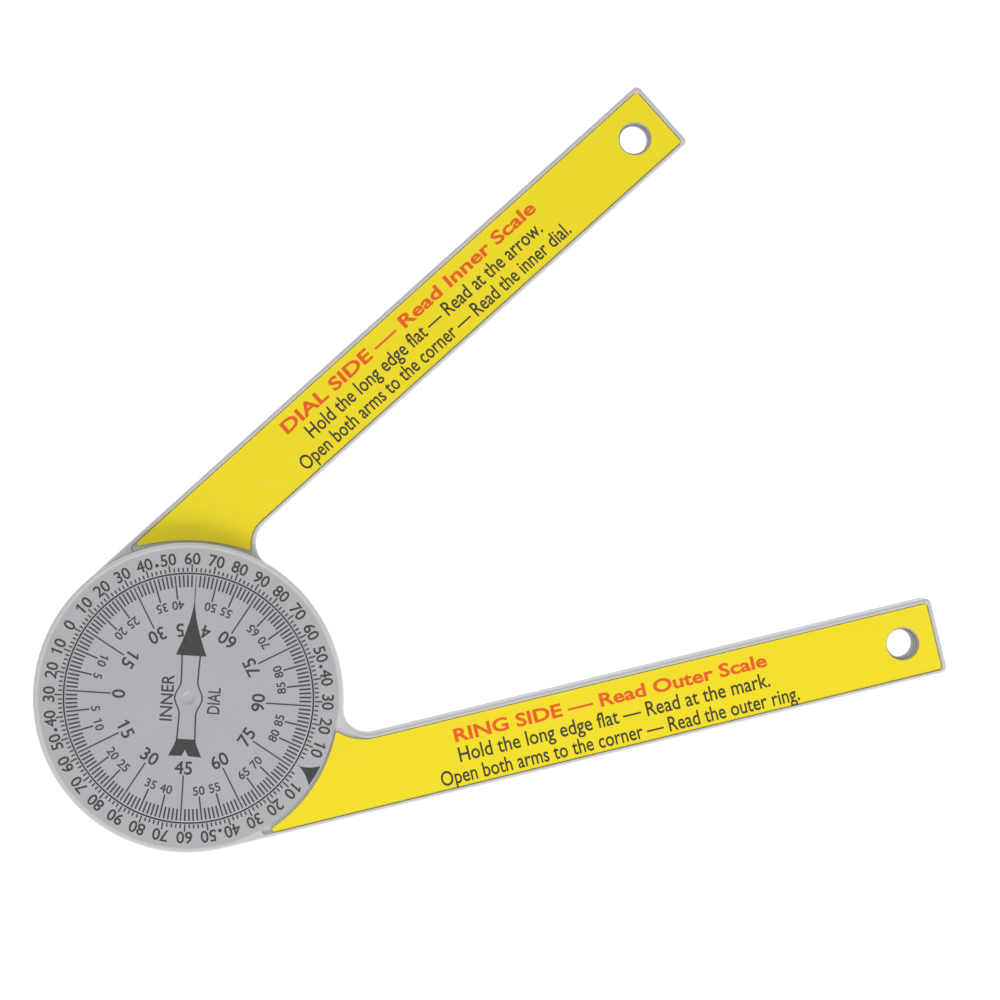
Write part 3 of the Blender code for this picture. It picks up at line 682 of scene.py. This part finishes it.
# %% The cap over the pivot screw
SKIRT = 5.2 * MM
SKIRT_BORE = SKIRT - 0.8 * MM
cap_section = [(0, 0.25 * MM), (2.4 * MM, 0.25 * MM), (2.75 * MM, 0)]
cap_section += [(CAP_RADIUS - 0.3 * MM, 0), (CAP_RADIUS - 0.1 * MM, 0.08 * MM), (CAP_RADIUS, 0.3 * MM),
                (CAP_RADIUS, CAP_TOP), (SKIRT, CAP_TOP), (SKIRT, cap_high.z),
                (SKIRT_BORE, cap_high.z), (SKIRT_BORE, CAP_TOP), (0, CAP_TOP)]
cap = turned("pivot_cap", cap_section, 96)
shade(cap)
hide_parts("hub_cap")
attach(cap, "dial_arm")
print("cap:", len(cap.data.polygons), "faces")

# %% [markdown]
# One cover screw is modelled with care: a pan head with a crossed driver recess, a plain neck, and
# fine rings that stand for its thread. The other seven are copies of it, each with a mesh of
# its own, set down where the engineering model has its screws.

# %% Cover screws
SCREW_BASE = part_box("ring_cover_screw_1")[0].z
SCREW_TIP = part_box("ring_cover_screw_1")[1].z


def model_screw():
    head_top = SCREW_BASE + 0.9 * MM
    section = [(0, SCREW_BASE), (1.45 * MM, SCREW_BASE), (1.62 * MM, SCREW_BASE + 0.08 * MM),
               (1.7 * MM, SCREW_BASE + 0.28 * MM), (1.7 * MM, head_top), (0.72 * MM, head_top)]
    height = head_top + 0.5 * MM
    while height < SCREW_TIP - 0.9 * MM:
        section += [(0.7 * MM, height), (0.88 * MM, height + 0.18 * MM), (0.7 * MM, height + 0.36 * MM)]
        height += 0.45 * MM
    section += [(0.6 * MM, SCREW_TIP - 0.5 * MM), (0.2 * MM, SCREW_TIP), (0, SCREW_TIP)]
    screw = turned("screw", section, 32)
    floor_of_cross = SCREW_BASE + 0.5 * MM
    slots = [block("slot", (-0.95 * MM, -0.24 * MM, -MARGIN), (0.95 * MM, 0.24 * MM, floor_of_cross)),
             block("slot", (-0.24 * MM, -0.95 * MM, -MARGIN), (0.24 * MM, 0.95 * MM, floor_of_cross))]
    boolean(screw, "DIFFERENCE", slots)
    return screw


pattern_screw = model_screw()
screws = []
for body, arm, count in (("ring_arm", "ring", 3), ("dial_arm", "dial", 5)):
    for number in range(1, count + 1):
        node = f"{arm}_cover_screw_{number}"
        middle = middle_of(node)
        screw = pattern_screw.copy()
        screw.data = pattern_screw.data.copy()
        bpy.context.scene.collection.objects.link(screw)
        screw.name = f"{arm}_arm_back_screw_{number}"
        set_down(screw, middle.x, middle.y, 0.7 * number)
        shade(screw)
        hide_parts(node)
        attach(screw, body)
        screws.append(screw)
bpy.data.objects.remove(pattern_screw)
print("screws:", len(screws), "of", len(screws[0].data.polygons), "faces each")

# %% [markdown]
# The print is ink with a real thickness, two hundredths of a millimetre proud of its surface.
# It could be painted into the material, but thin geometry gives a crisp edge at any distance, and
# it's easy to lay out: a mark is made once along +X, and its copies are turned about the pivot.

# %% Printing helpers
INK_SUNK = 0.01 * MM
INK_PROUD = 0.02 * MM
FACE = RING_TOP
CAP_SHARE = 0.69
THICKER = 100


def tick(name, inner, outer, width):
    """A printed line along +X, with its corners taken off."""
    mark = block(name, (inner, -width / 2, FACE - INK_SUNK), (outer, width / 2, FACE + INK_PROUD))
    choose(mark, "EDGE", lambda edge: abs(edge.verts[0].co.z - edge.verts[1].co.z) > INK_PROUD / 2)
    bpy.ops.mesh.bevel(offset=width * 0.25, segments=1, affect="EDGES")
    close_edit()
    return mark


def joined(pieces, name):
    """Join pieces into one, with its place in its mesh."""
    only(*pieces)
    bpy.ops.object.join()
    bpy.ops.object.transform_apply(location=True, rotation=True, scale=True)
    piece = bpy.context.object
    piece.name = name
    piece.data.name = name
    return piece


def copies_at(mark, bearings, radius=0, turn=0):
    """Copies of a mark round the pivot, each with its own mesh."""
    made = []
    for bearing in bearings:
        copy = mark.copy()
        copy.data = mark.data.copy()
        copy.location = (radius * math.cos(bearing), radius * math.sin(bearing), 0)
        copy.rotation_euler.z = bearing + turn
        bpy.context.scene.collection.objects.link(copy)
        made.append(copy)
    bpy.data.objects.remove(mark)
    return made


def lettering(body, capital, width=None, bold=0.0, fatten=0.0, level=FACE):
    """Letters as thin closed solids, centred on the origin; a width squeezes or stretches them.

    They're made very thick first. That way, pushing their walls outwards to fatten them leaves no
    bumps on their faces once the thickness is scaled back.
    """
    bpy.ops.object.select_all(action="DESELECT")
    bpy.ops.object.text_add(location=(0, 0, 0))
    text = bpy.context.object
    text.data.body = body
    text.data.size = capital / CAP_SHARE
    text.data.align_x = "CENTER"
    text.data.resolution_u = 3
    text.data.offset = bold
    text.data.extrude = THICKER * (INK_SUNK + INK_PROUD) / 2
    bpy.ops.object.convert(target="MESH")
    piece = bpy.context.object
    choose(piece, "FACE", lambda face: True)
    bpy.ops.mesh.remove_doubles(threshold=0.0005 * MM)
    if fatten > 0:
        bpy.ops.transform.shrink_fatten(value=fatten, use_even_offset=True)
    close_edit()
    if width is not None:
        piece.scale.x = width / piece.dimensions.x
    piece.scale.z = 1 / THICKER
    piece.location = (0, -capital / 2, level + (INK_PROUD - INK_SUNK) / 2)
    bpy.ops.object.transform_apply(location=True, rotation=True, scale=True)
    return piece


def number_sign(value, capital):
    """A number for a scale. This typeface's 1 is a bare stroke, so it's given its flag."""
    number = lettering(str(value), capital, fatten=0.02 * capital)
    if str(value).startswith("1"):
        stem = min(vert.co.x for vert in number.data.vertices)
        flag = block("flag", (-0.3 * capital, -0.06 * capital, FACE - INK_SUNK),
                     (0.05 * capital, 0.06 * capital, FACE + INK_PROUD))
        set_down(flag, stem + 0.03 * capital, 0.42 * capital, math.radians(36))
        boolean(number, "UNION", [flag])
    return number


print("a mark stands", round(INK_PROUD / MM, 3), "mm proud")

# %% [markdown]
# The outer scale is on the ring. Its triangle marks the angle, and the numbers count to 90 and
# back both ways from it. Numbers have their tops outwards. A dot marks each 45.

# %% Outer scale on the ring
TRIANGLE = math.radians(-45.3)


def from_triangle(degrees):
    return TRIANGLE + math.radians(degrees)


OUTER_TICKS_START = 25.8 * MM
SHORT_TICK_END = 26.65 * MM
LONG_TICK_END = 27.35 * MM
OUTER_TICK_WIDTH = 0.3 * MM
OUTER_CAPITAL = 2.35 * MM
OUTER_NUMBERS = 28.5 * MM
DOTS = 27.8 * MM

short_ticks = [from_triangle(d) for d in range(4, 357, 2) if d % 10 != 0]
long_ticks = [from_triangle(d) for d in range(10, 351, 10)]
outer_ticks = copies_at(tick("short", OUTER_TICKS_START, SHORT_TICK_END, OUTER_TICK_WIDTH), short_ticks)
outer_ticks += copies_at(tick("long", OUTER_TICKS_START, LONG_TICK_END, OUTER_TICK_WIDTH), long_ticks)

outer_numbers = []
for value in range(0, 91, 10):
    places = []
    for degrees in range(10, 351, 10):
        fold = degrees % 180
        if min(fold, 180 - fold) == value:
            places.append(from_triangle(degrees))
    number = number_sign(value, OUTER_CAPITAL)
    outer_numbers += copies_at(number, places, OUTER_NUMBERS, -math.pi / 2)

dot = rod("dot", 0.38 * MM, FACE - INK_SUNK, FACE + INK_PROUD, steps=20)
soften_rims(dot, FACE + INK_PROUD, 0.012 * MM, 2)
outer_dots = copies_at(dot, [from_triangle(d) for d in (45, 135, 225, 315)], DOTS)

tip_r, base_r, half_base = 26.1 * MM, 30.35 * MM, 2.3 * MM


def triangle_point(step, side):
    """A point on a side of the triangle, which curves outwards to the base in eight steps."""
    radius = tip_r + (base_r - tip_r) * step / 8
    half = half_base * (step / 8) ** 1.7
    return math.sqrt(radius ** 2 - half ** 2), side * half


pen = Pen("triangle", (tip_r, -0.05 * MM), FACE - INK_SUNK)
for step in range(1, 9):
    pen.line(*triangle_point(step, -1))
pen.arc((0, 0), 2 * math.asin(half_base / base_r), 8)
for step in range(7, 0, -1):
    pen.line(*triangle_point(step, 1))
pen.line(tip_r, 0.05 * MM)
triangle = copies_at(pen.fill(INK_SUNK + INK_PROUD), [TRIANGLE])

outer_scale = joined(outer_ticks + outer_numbers + outer_dots + triangle, "outer_scale")
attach(outer_scale, "ring_arm")
print("outer scale:", len(short_ticks) + len(long_ticks), "ticks,", len(outer_numbers), "numbers")

# %% [markdown]
# The inner scale is on the dial, and one of its units takes two degrees of arc, so a reading is
# half the angle between the arms. Its numbers have their tops towards the pivot. Every fifth
# unit has a longer line and a small number, and every fifteenth the longest and a large one.

# %% Inner scale on the dial
ARROW = OPEN_ANGLE + math.radians(44.2)


def unit_bearings(unit):
    """The unit's bearing in the half with the arrow, and in the half behind it."""
    zero = ARROW + math.pi / 2
    upper = zero - math.radians(2 * unit)
    lower = zero + math.radians(2 * unit)
    return [upper] if unit in (0, 90) else [upper, lower]


INNER_TICKS_END = 25.1 * MM
LARGE_CAPITAL, LARGE_NUMBERS = 2.6 * MM, 14.25 * MM
SMALL_CAPITAL, SMALL_NUMBERS = 1.74 * MM, 19.05 * MM

plain, fives, fifteens = [], [], []
for unit in range(0, 91):
    where = fifteens if unit % 15 == 0 else fives if unit % 5 == 0 else plain
    where += [bearing for bearing in unit_bearings(unit) if abs(bearing - ARROW) > 0.01]
inner_marks = copies_at(tick("unit", 22.65 * MM, INNER_TICKS_END, 0.34 * MM), plain)
inner_marks += copies_at(tick("five", 20.2 * MM, INNER_TICKS_END, 0.31 * MM), fives)
inner_marks += copies_at(tick("fifteen", 15.8 * MM, INNER_TICKS_END, 0.28 * MM), fifteens)

for unit in range(0, 91, 5):
    large = unit % 15 == 0
    capital, radius = (LARGE_CAPITAL, LARGE_NUMBERS) if large else (SMALL_CAPITAL, SMALL_NUMBERS)
    places = [bearing for bearing in unit_bearings(unit) if abs(bearing - ARROW) > 0.01]
    number = number_sign(unit, capital)
    inner_marks += copies_at(number, places, radius, math.pi / 2)
# The 45 under the arrow's head is split, with one digit on each side of it.
for digit, aside in ((4, -10.9), (5, 10.6)):
    number = number_sign(digit, LARGE_CAPITAL)
    inner_marks += copies_at(number, [ARROW + math.radians(aside)], 13.95 * MM, math.pi / 2)
inner_scale = joined(inner_marks, "inner_scale")
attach(inner_scale, "dial_arm")
print("inner scale:", len(plain), "unit lines,", len(fives), "fives,", len(fifteens), "fifteens")

# %% [markdown]
# The long arrow tells which way the dial arm reads: a needle that widens into a solid head, two
# thin lines that swell round the pivot, and a notched tail. The pen draws one half of each shape
# going out and the other half coming back.

# %% The dial's arrow
HEAD_BASE = 8.7
HEAD_POINT = 19.6
NEEDLE_END = 24.9


def head_half(r):
    """Half the arrow head's width: it widens faster and faster towards its base."""
    share = max(0.0, (HEAD_POINT * MM - r) / (HEAD_POINT * MM - HEAD_BASE * MM))
    return 0.09 * MM + 3.05 * MM * share ** 1.5


def shaft_half(r):
    """Half the distance between the shaft's lines, which swell round the pivot."""
    swell = 0.5 + 0.5 * math.cos(math.pi * min(1.0, abs(r) / (3.4 * MM)))
    return 1.66 * MM + 1.15 * MM * swell + 0.2 * MM * (r / (8.6 * MM)) ** 2


head_rows = [HEAD_BASE + (HEAD_POINT - HEAD_BASE) * step / 14 for step in range(15)] + [NEEDLE_END]
pen = Pen("head", (HEAD_BASE * MM, head_half(HEAD_BASE * MM)), FACE - INK_SUNK)
pen.line(HEAD_BASE * MM, -head_half(HEAD_BASE * MM))
for r in head_rows[1:]:
    pen.line(r * MM, -head_half(r * MM))
for r in reversed(head_rows[1:]):
    pen.line(r * MM, head_half(r * MM))
arrow_parts = [pen.fill(INK_SUNK + INK_PROUD)]

LINE = 0.15 * MM
shaft_rows = [-8.6 + 17.4 * step / 36 for step in range(37)]
for side in (-1, 1):
    pen = Pen("shaft", (shaft_rows[0] * MM, side * shaft_half(shaft_rows[0] * MM) - LINE), FACE - INK_SUNK)
    for r in shaft_rows[1:]:
        pen.line(r * MM, side * shaft_half(r * MM) - LINE)
    for r in reversed(shaft_rows):
        pen.line(r * MM, side * shaft_half(r * MM) + LINE)
    arrow_parts.append(pen.fill(INK_SUNK + INK_PROUD))

pen = Pen("tail", (-8.4 * MM, 1.9 * MM), FACE - INK_SUNK)
for x, y in ((-9.6, 2.3), (-10.8, 2.85), (-11.95, 3.4), (-11.85, 0.68), (-10.5, 0), (-11.85, -0.68),
             (-11.95, -3.4), (-10.8, -2.85), (-9.6, -2.3), (-8.4, -1.9)):
    pen.line(x * MM, y * MM)
arrow_parts.append(pen.fill(INK_SUNK + INK_PROUD))

for word, aside, along, length in (("INNER", 4.4, -0.3, 9.4), ("DIAL", -5.2, -0.3, 5.4)):
    letters = lettering(word, 2.5 * MM, length * MM, fatten=0.03 * MM)
    set_down(letters, along * MM, aside * MM)
    arrow_parts.append(letters)
arrow = joined(arrow_parts, "arrow_and_words")
set_down(arrow, turn=ARROW)
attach(arrow, "dial_arm")
print("arrow:", len(arrow.data.polygons), "faces")

# %% [markdown]
# Each plate has a heading in bold orange and two plain lines under it. The words only say how
# the scales are read. A real printed line is set to a length, so each line here is given its
# length and its letters are squeezed or stretched to fill it.

# %% Words on the plates
# Each line: its words, where it starts and ends along the arm, its middle across the arm, and the
# height of its capitals, all in millimetres on the arm before it's opened.
RING_LINES = (("RING SIDE — Read Outer Scale", 50.8, 116.6, -20.35, 2.6),
              ("Hold the long edge flat — Read at the mark.", 50.9, 116.3, -24.35, 3.0),
              ("Open both arms to the corner — Read the outer ring.", 46.2, 121.6, -28.45, 3.0))
DIAL_LINES = (("DIAL SIDE — Read Inner Scale", 51.0, 119.8, 27.75, 2.6),
              ("Hold the long edge flat — Read at the arrow.", 54.4, 118.0, 23.8, 3.0),
              ("Open both arms to the corner — Read the inner dial.", 49.0, 122.3, 19.75, 3.0))


HEAVY = 0.1 * MM
PLAIN = 0.04 * MM


def print_plate(name, lines, top, body, is_dial):
    headings = []
    plain_lines = []
    for words, start, end, height, capital in lines:
        bold = len(headings) == 0
        line = lettering(words, capital * MM, (end - start) * MM, HEAVY if bold else PLAIN, level=top)
        set_down(line, (start + end) / 2 * MM, height * MM)
        (headings if bold else plain_lines).append(line)
    made = [joined(headings, name + "_heading"), joined(plain_lines, name + "_lines")]
    for piece in made:
        if is_dial:
            open_up(piece)
        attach(piece, body)
    return made


ring_heading, ring_text = print_plate("ring_plate", RING_LINES, RING_TOP - LABEL_TOP_DROP,
                                      "ring_arm", False)
dial_heading, dial_text = print_plate("dial_plate", DIAL_LINES, DIAL_ARM_TOP - LABEL_TOP_DROP,
                                      "dial_arm", True)
print("plate print:", len(ring_text.data.polygons) + len(dial_text.data.polygons), "faces of plain lines")

# %% [markdown]
# Every finish is a node material. Its patterns are sums of noises, so it helps to write them as
# sums: this small class wraps a socket, and an expression on it adds the Math nodes.

# %% A short way to write shader maths
class Sock:
    """The output of a node, which can be used in a sum."""

    def __init__(self, finish, output):
        self.finish = finish
        self.output = output

    def sum(self, operation, first, second):
        return self.finish.node("ShaderNodeMath", {"operation": operation}, {0: first, 1: second})

    def __add__(self, other):
        return self.sum("ADD", self, other)

    def __sub__(self, other):
        return self.sum("SUBTRACT", self, other)

    def __rsub__(self, other):
        return self.sum("SUBTRACT", other, self)

    def __mul__(self, other):
        return self.sum("MULTIPLY", self, other)

    __radd__ = __add__
    __rmul__ = __mul__


class Finish:
    """A material in the making: one main shader and what varies over the surface."""

    def __init__(self, name, **fixed):
        self.material = bpy.data.materials.new(name)
        self.material.use_nodes = True
        self.tree = self.material.node_tree
        self.shader = self.tree.nodes["Principled BSDF"]
        for socket, value in fixed.items():
            self.shader.inputs[socket.replace("_", " ")].default_value = value
        place = self.node("ShaderNodeTexCoord", output="Object")
        self.place = self.node("ShaderNodeVectorMath", {"operation": "SCALE"}, {0: place, "Scale": 1000.0})

    def node(self, kind, settings=None, sockets=None, output=0):
        """Add a node: its settings first, then the values or links of its sockets."""
        made = self.tree.nodes.new(kind)
        for name, value in (settings or {}).items():
            setattr(made, name, value)
        for key, value in (sockets or {}).items():
            self.plug(value, made.inputs[key])
        return Sock(self, made.outputs[output])

    def plug(self, value, socket):
        if isinstance(value, Sock):
            self.tree.links.new(value.output, socket)
        else:
            socket.default_value = value

    def noise(self, per_mm, detail=2.0, stretch=(1, 1, 1), turn=0.0):
        """Soft noise with so many blobs per millimetre, from 0 to 1."""
        place = self.node("ShaderNodeMapping", sockets={"Vector": self.place, "Scale": stretch,
                                                        "Rotation": (0, 0, turn)})
        return self.node("ShaderNodeTexNoise", sockets={"Vector": place, "Scale": per_mm,
                                                        "Detail": detail, "Roughness": 0.55})

    def ramp(self, value, low, high):
        """0 below low, 1 above high, and smooth between them."""
        return self.node("ShaderNodeMapRange", {"interpolation_type": "SMOOTHSTEP"},
                         {"Value": value, "From Min": low, "From Max": high})

    def scratches(self, turn, width=0.012):
        """Thin lines where a long stretched noise crosses its middle."""
        lines = self.noise(0.9, 1.0, (0.05, 1.0, 1.0), turn)
        patches = self.ramp(self.noise(0.09, 2.0), 0.52, 0.62)
        ridge = self.node("ShaderNodeMath", {"operation": "ABSOLUTE"}, {0: lines - 0.5})
        return (1 - self.ramp(ridge, 0.0, width)) * patches

    def tilt(self):
        """0 on level faces, 1 on upright walls, and between them on the rounds that join the two."""
        facing = self.node("ShaderNodeNewGeometry", output="Normal")
        upright = self.node("ShaderNodeSeparateXYZ", sockets={0: facing}, output="Z")
        return 1 - self.node("ShaderNodeMath", {"operation": "ABSOLUTE"}, {0: upright})

    def from_pivot(self):
        """Distance from the pivot's axis, in millimetres."""
        flat = self.node("ShaderNodeMapping", sockets={"Vector": self.place, "Scale": (1, 1, 0)})
        return self.node("ShaderNodeVectorMath", {"operation": "LENGTH"}, {0: flat}, output="Value")

    def blend(self, factor, first, second):
        made = self.tree.nodes.new("ShaderNodeMix")
        made.data_type = "RGBA"
        self.plug(factor, made.inputs["Factor"])
        self.plug(first, made.inputs[6])
        self.plug(second, made.inputs[7])
        return Sock(self, made.outputs[2])

    def feed(self, socket, value):
        self.plug(value, self.shader.inputs[socket])

    def relief(self, height, strength, distance):
        """Bump from a height pattern; the distance is the depth of its full range."""
        bump = self.node("ShaderNodeBump", sockets={"Height": height, "Strength": strength,
                                                    "Distance": distance}, output="Normal")
        self.feed("Normal", bump)


def colour(red, green, blue):
    """A colour from 0-255 screen values, as Blender's linear numbers."""
    linear = []
    for part in (red, green, blue):
        share = part / 255
        linear.append(share / 12.92 if share <= 0.04045 else ((share + 0.055) / 1.055) ** 2.4)
    return (*linear, 1.0)


def darker(plain):
    return tuple(0.9 * part for part in plain[:3]) + (1,)


def coat(finish, *pieces):
    for piece in pieces:
        piece.data.materials.clear()
        piece.data.materials.append(finish.material)


print("shader helpers ready")

# %% [markdown]
# The grey parts are injection-moulded plastic. Its mould was spark-eroded, so the surface has a
# fine even grain. The colour isn't flat either: there are faint clouds from the way the melt
# flowed, tiny specks, and hairline scratches from a toolbox. The rounds of the rims are painted
# lighter, partly as rub wear and partly as a painted highlight.
# The ring's face carries a thin grey tint under its scale, which stops just short of its edge.

# %% Moulded grey plastic
def moulded_plastic(name, body_colour, worn_and_highlit_rim_colour, roughness, grain_per_mm, scratch_turn,
                    face_colour=None):
    finish = Finish(name, IOR=1.5)
    clouds = finish.noise(0.05, 3.0)
    specks = finish.noise(5.0, 2.0)
    dust = finish.ramp(finish.noise(2.6, 1.0), 0.66, 0.74)
    hair = finish.scratches(scratch_turn) + 0.7 * finish.scratches(scratch_turn + 1.1)
    # Painted highlight, partly rub wear: the rounds between level faces and walls get a lighter colour.
    tilt = finish.tilt()
    rub_wear_and_highlight = finish.ramp(tilt, 0.03, 0.25) * (1 - finish.ramp(tilt, 0.8, 0.97))
    rub_wear_and_highlight = rub_wear_and_highlight * (0.45 + 0.55 * finish.noise(0.5, 3.0))
    flow = 0.75 * clouds + 0.25 * specks
    base = finish.blend(flow, darker(body_colour), body_colour)
    if face_colour is not None:
        face = finish.blend(flow, darker(face_colour), face_colour)
        base = finish.blend(finish.ramp(finish.from_pivot(), 30.5, 30.9), face, base)
    # Painted highlight and rub wear: the rounded rims are mixed towards the lighter rim colour.
    base = finish.blend(0.85 * rub_wear_and_highlight, base, worn_and_highlit_rim_colour)
    base = finish.blend(0.22 * dust, base, colour(120, 118, 112))
    base = finish.blend(0.1 * hair, base, colour(235, 235, 235))
    finish.feed("Base Color", base)
    finish.feed("Roughness", roughness + 0.1 * clouds + 0.06 * specks - 0.1 * rub_wear_and_highlight + 0.12 * hair)
    grain = finish.noise(grain_per_mm, 2.0)
    finish.relief(grain - 0.5 * hair, 0.35, 0.00002)
    return finish


ring_plastic = moulded_plastic("ring_arm_plastic_finish", colour(208, 208, 208), colour(226, 226, 225),
                               0.42, 5.5, 0.2, colour(184, 184, 188))
dial_arm_plastic = moulded_plastic("dial_arm_plastic_finish", colour(208, 208, 208), colour(226, 226, 225),
                                   0.44, 5.5, 0.9)
dial_plastic = moulded_plastic("dial_plastic_finish", colour(182, 182, 188), colour(206, 206, 209),
                               0.40, 7.0, 2.2)
coat(ring_plastic, ring_casing, ring_cover)
coat(dial_arm_plastic, dial_casing, dial_cover, cap)
coat(dial_plastic, dial)
print("grey plastics on both casings, both covers, the cap and the dial")

# %% [markdown]
# The plates are yellow film with a satin varnish. Film shows the grain of its printing screen
# and a very slight orange-peel. The plate's edge and its round are painted a deeper yellow, as
# painted shade where the plate sits down in its pocket.

# %% Yellow printed film
def yellow_film(name, scratch_turn, main, deep):
    finish = Finish(name, IOR=1.48, Coat_Roughness=0.3, Specular_IOR_Level=0.25)
    clouds = finish.noise(0.04, 2.0)
    screen = finish.noise(7.0, 1.0)
    hair = finish.scratches(scratch_turn) + finish.scratches(scratch_turn - 0.9)
    base = finish.blend(0.7 * clouds + 0.3 * screen, deep, main)
    # Painted shade: the plate's sloping edges are mixed towards a deeper yellow.
    base = finish.blend(0.6 * finish.ramp(finish.tilt(), 0.04, 0.4), base, colour(176, 150, 20))
    base = finish.blend(0.06 * hair, base, colour(250, 245, 200))
    finish.feed("Base Color", base)
    finish.feed("Roughness", 0.4 + 0.12 * clouds + 0.08 * screen + 0.1 * hair)
    finish.feed("Coat Weight", 0.05 - 0.04 * hair)
    finish.relief(0.8 * finish.noise(0.8, 1.0) + 0.2 * screen, 0.25, 0.00002)
    return finish


ring_yellow = yellow_film("ring_plate_yellow", 0.1, colour(249, 230, 34), colour(245, 224, 26))
dial_yellow = yellow_film("dial_plate_yellow", 0.7, colour(248, 229, 34), colour(243, 222, 26))
coat(ring_yellow, ring_plate)
coat(dial_yellow, dial_plate)

# %% Printing inks
def ink(name, full, thin):
    """Screen ink: a little uneven in cover, and duller than the film under it."""
    finish = Finish(name, IOR=1.45)
    cover = 0.6 * finish.noise(1.2, 3.0) + 0.4 * finish.noise(9.0, 1.0)
    finish.feed("Base Color", finish.blend(finish.ramp(cover, 0.35, 0.7), full, thin))
    finish.feed("Roughness", 0.5 + 0.2 * cover)
    finish.relief(finish.noise(9.0, 1.0), 0.2, 0.00001)
    return finish


scale_ink = ink("scale_ink", colour(58, 58, 57), colour(72, 72, 71))
plate_ink = ink("plate_ink", colour(50, 48, 40), colour(66, 62, 48))
heading_ink = ink("heading_ink", colour(236, 88, 14), colour(244, 104, 26))
coat(scale_ink, outer_scale, inner_scale, arrow)
coat(plate_ink, ring_text, dial_text)
coat(heading_ink, ring_heading, dial_heading)
print("inks on the scales, the arrow and the plates' words")

# %% [markdown]
# The small metal and plastic parts sit inside or at the back. Zinc plating has a fine crystal
# mottle, the wave spring is darker with heat tints, and the slip ring is milky acetal with the
# faint circles of a lathe tool, which are rings of distance from the pivot.

# %% Screws, washers and the slip ring
def plated_metal(name, bright, dull, roughness, mottle_per_mm):
    finish = Finish(name, Metallic=1.0)
    mottle = finish.node("ShaderNodeTexVoronoi", sockets={"Vector": finish.place, "Scale": mottle_per_mm},
                         output="Color")
    grey_mottle = finish.node("ShaderNodeSeparateXYZ", sockets={0: mottle}, output="X")
    haze = finish.noise(0.9, 3.0)
    finish.feed("Base Color", finish.blend(0.5 * grey_mottle + 0.5 * haze, dull, bright))
    finish.feed("Roughness", roughness + 0.12 * grey_mottle + 0.12 * haze)
    finish.relief(finish.noise(14.0, 2.0), 0.2, 0.00001)
    return finish


zinc = plated_metal("zinc_plate", colour(214, 216, 214), colour(178, 180, 180), 0.22, 3.0)
dark_spring = plated_metal("spring_temper", colour(150, 140, 128), colour(104, 104, 112), 0.28, 1.5)
coat(zinc, *screws, frame["nodes"]["flat_washer"], frame["nodes"]["pivot_screw"])
coat(dark_spring, frame["nodes"]["wave_spring"])

acetal = Finish("milky_acetal", IOR=1.48)
circles = acetal.node("ShaderNodeMath", {"operation": "SINE"}, {0: 40.0 * acetal.from_pivot()})
haze = acetal.noise(0.4, 3.0)
acetal.feed("Base Color", acetal.blend(haze, colour(222, 221, 214), colour(240, 239, 233)))
acetal.feed("Roughness", 0.4 + 0.15 * haze + 0.03 * circles)
acetal.relief(circles, 0.15, 0.00001)
coat(acetal, frame["nodes"]["slip_ring"])
print("metal on", len(screws) + 3, "pieces")

# %% [markdown]
# The floor is a white acrylic sheet lit a little from below, like a light table. That keeps the
# shadows thin, and light comes up through the hanging holes as well.

# %% Floor finish
sheet = Finish("white_sheet", Roughness=0.6)
fleck = sheet.noise(0.02, 3.0)
tone = sheet.blend(fleck, (0.50, 0.50, 0.505, 1), (0.54, 0.54, 0.54, 1))
sheet.feed("Base Color", tone)
sheet.shader.inputs["Emission Color"].default_value = (1.0, 1.0, 1.0, 1.0)
sheet.shader.inputs["Emission Strength"].default_value = 0.85
coat(sheet, floor)
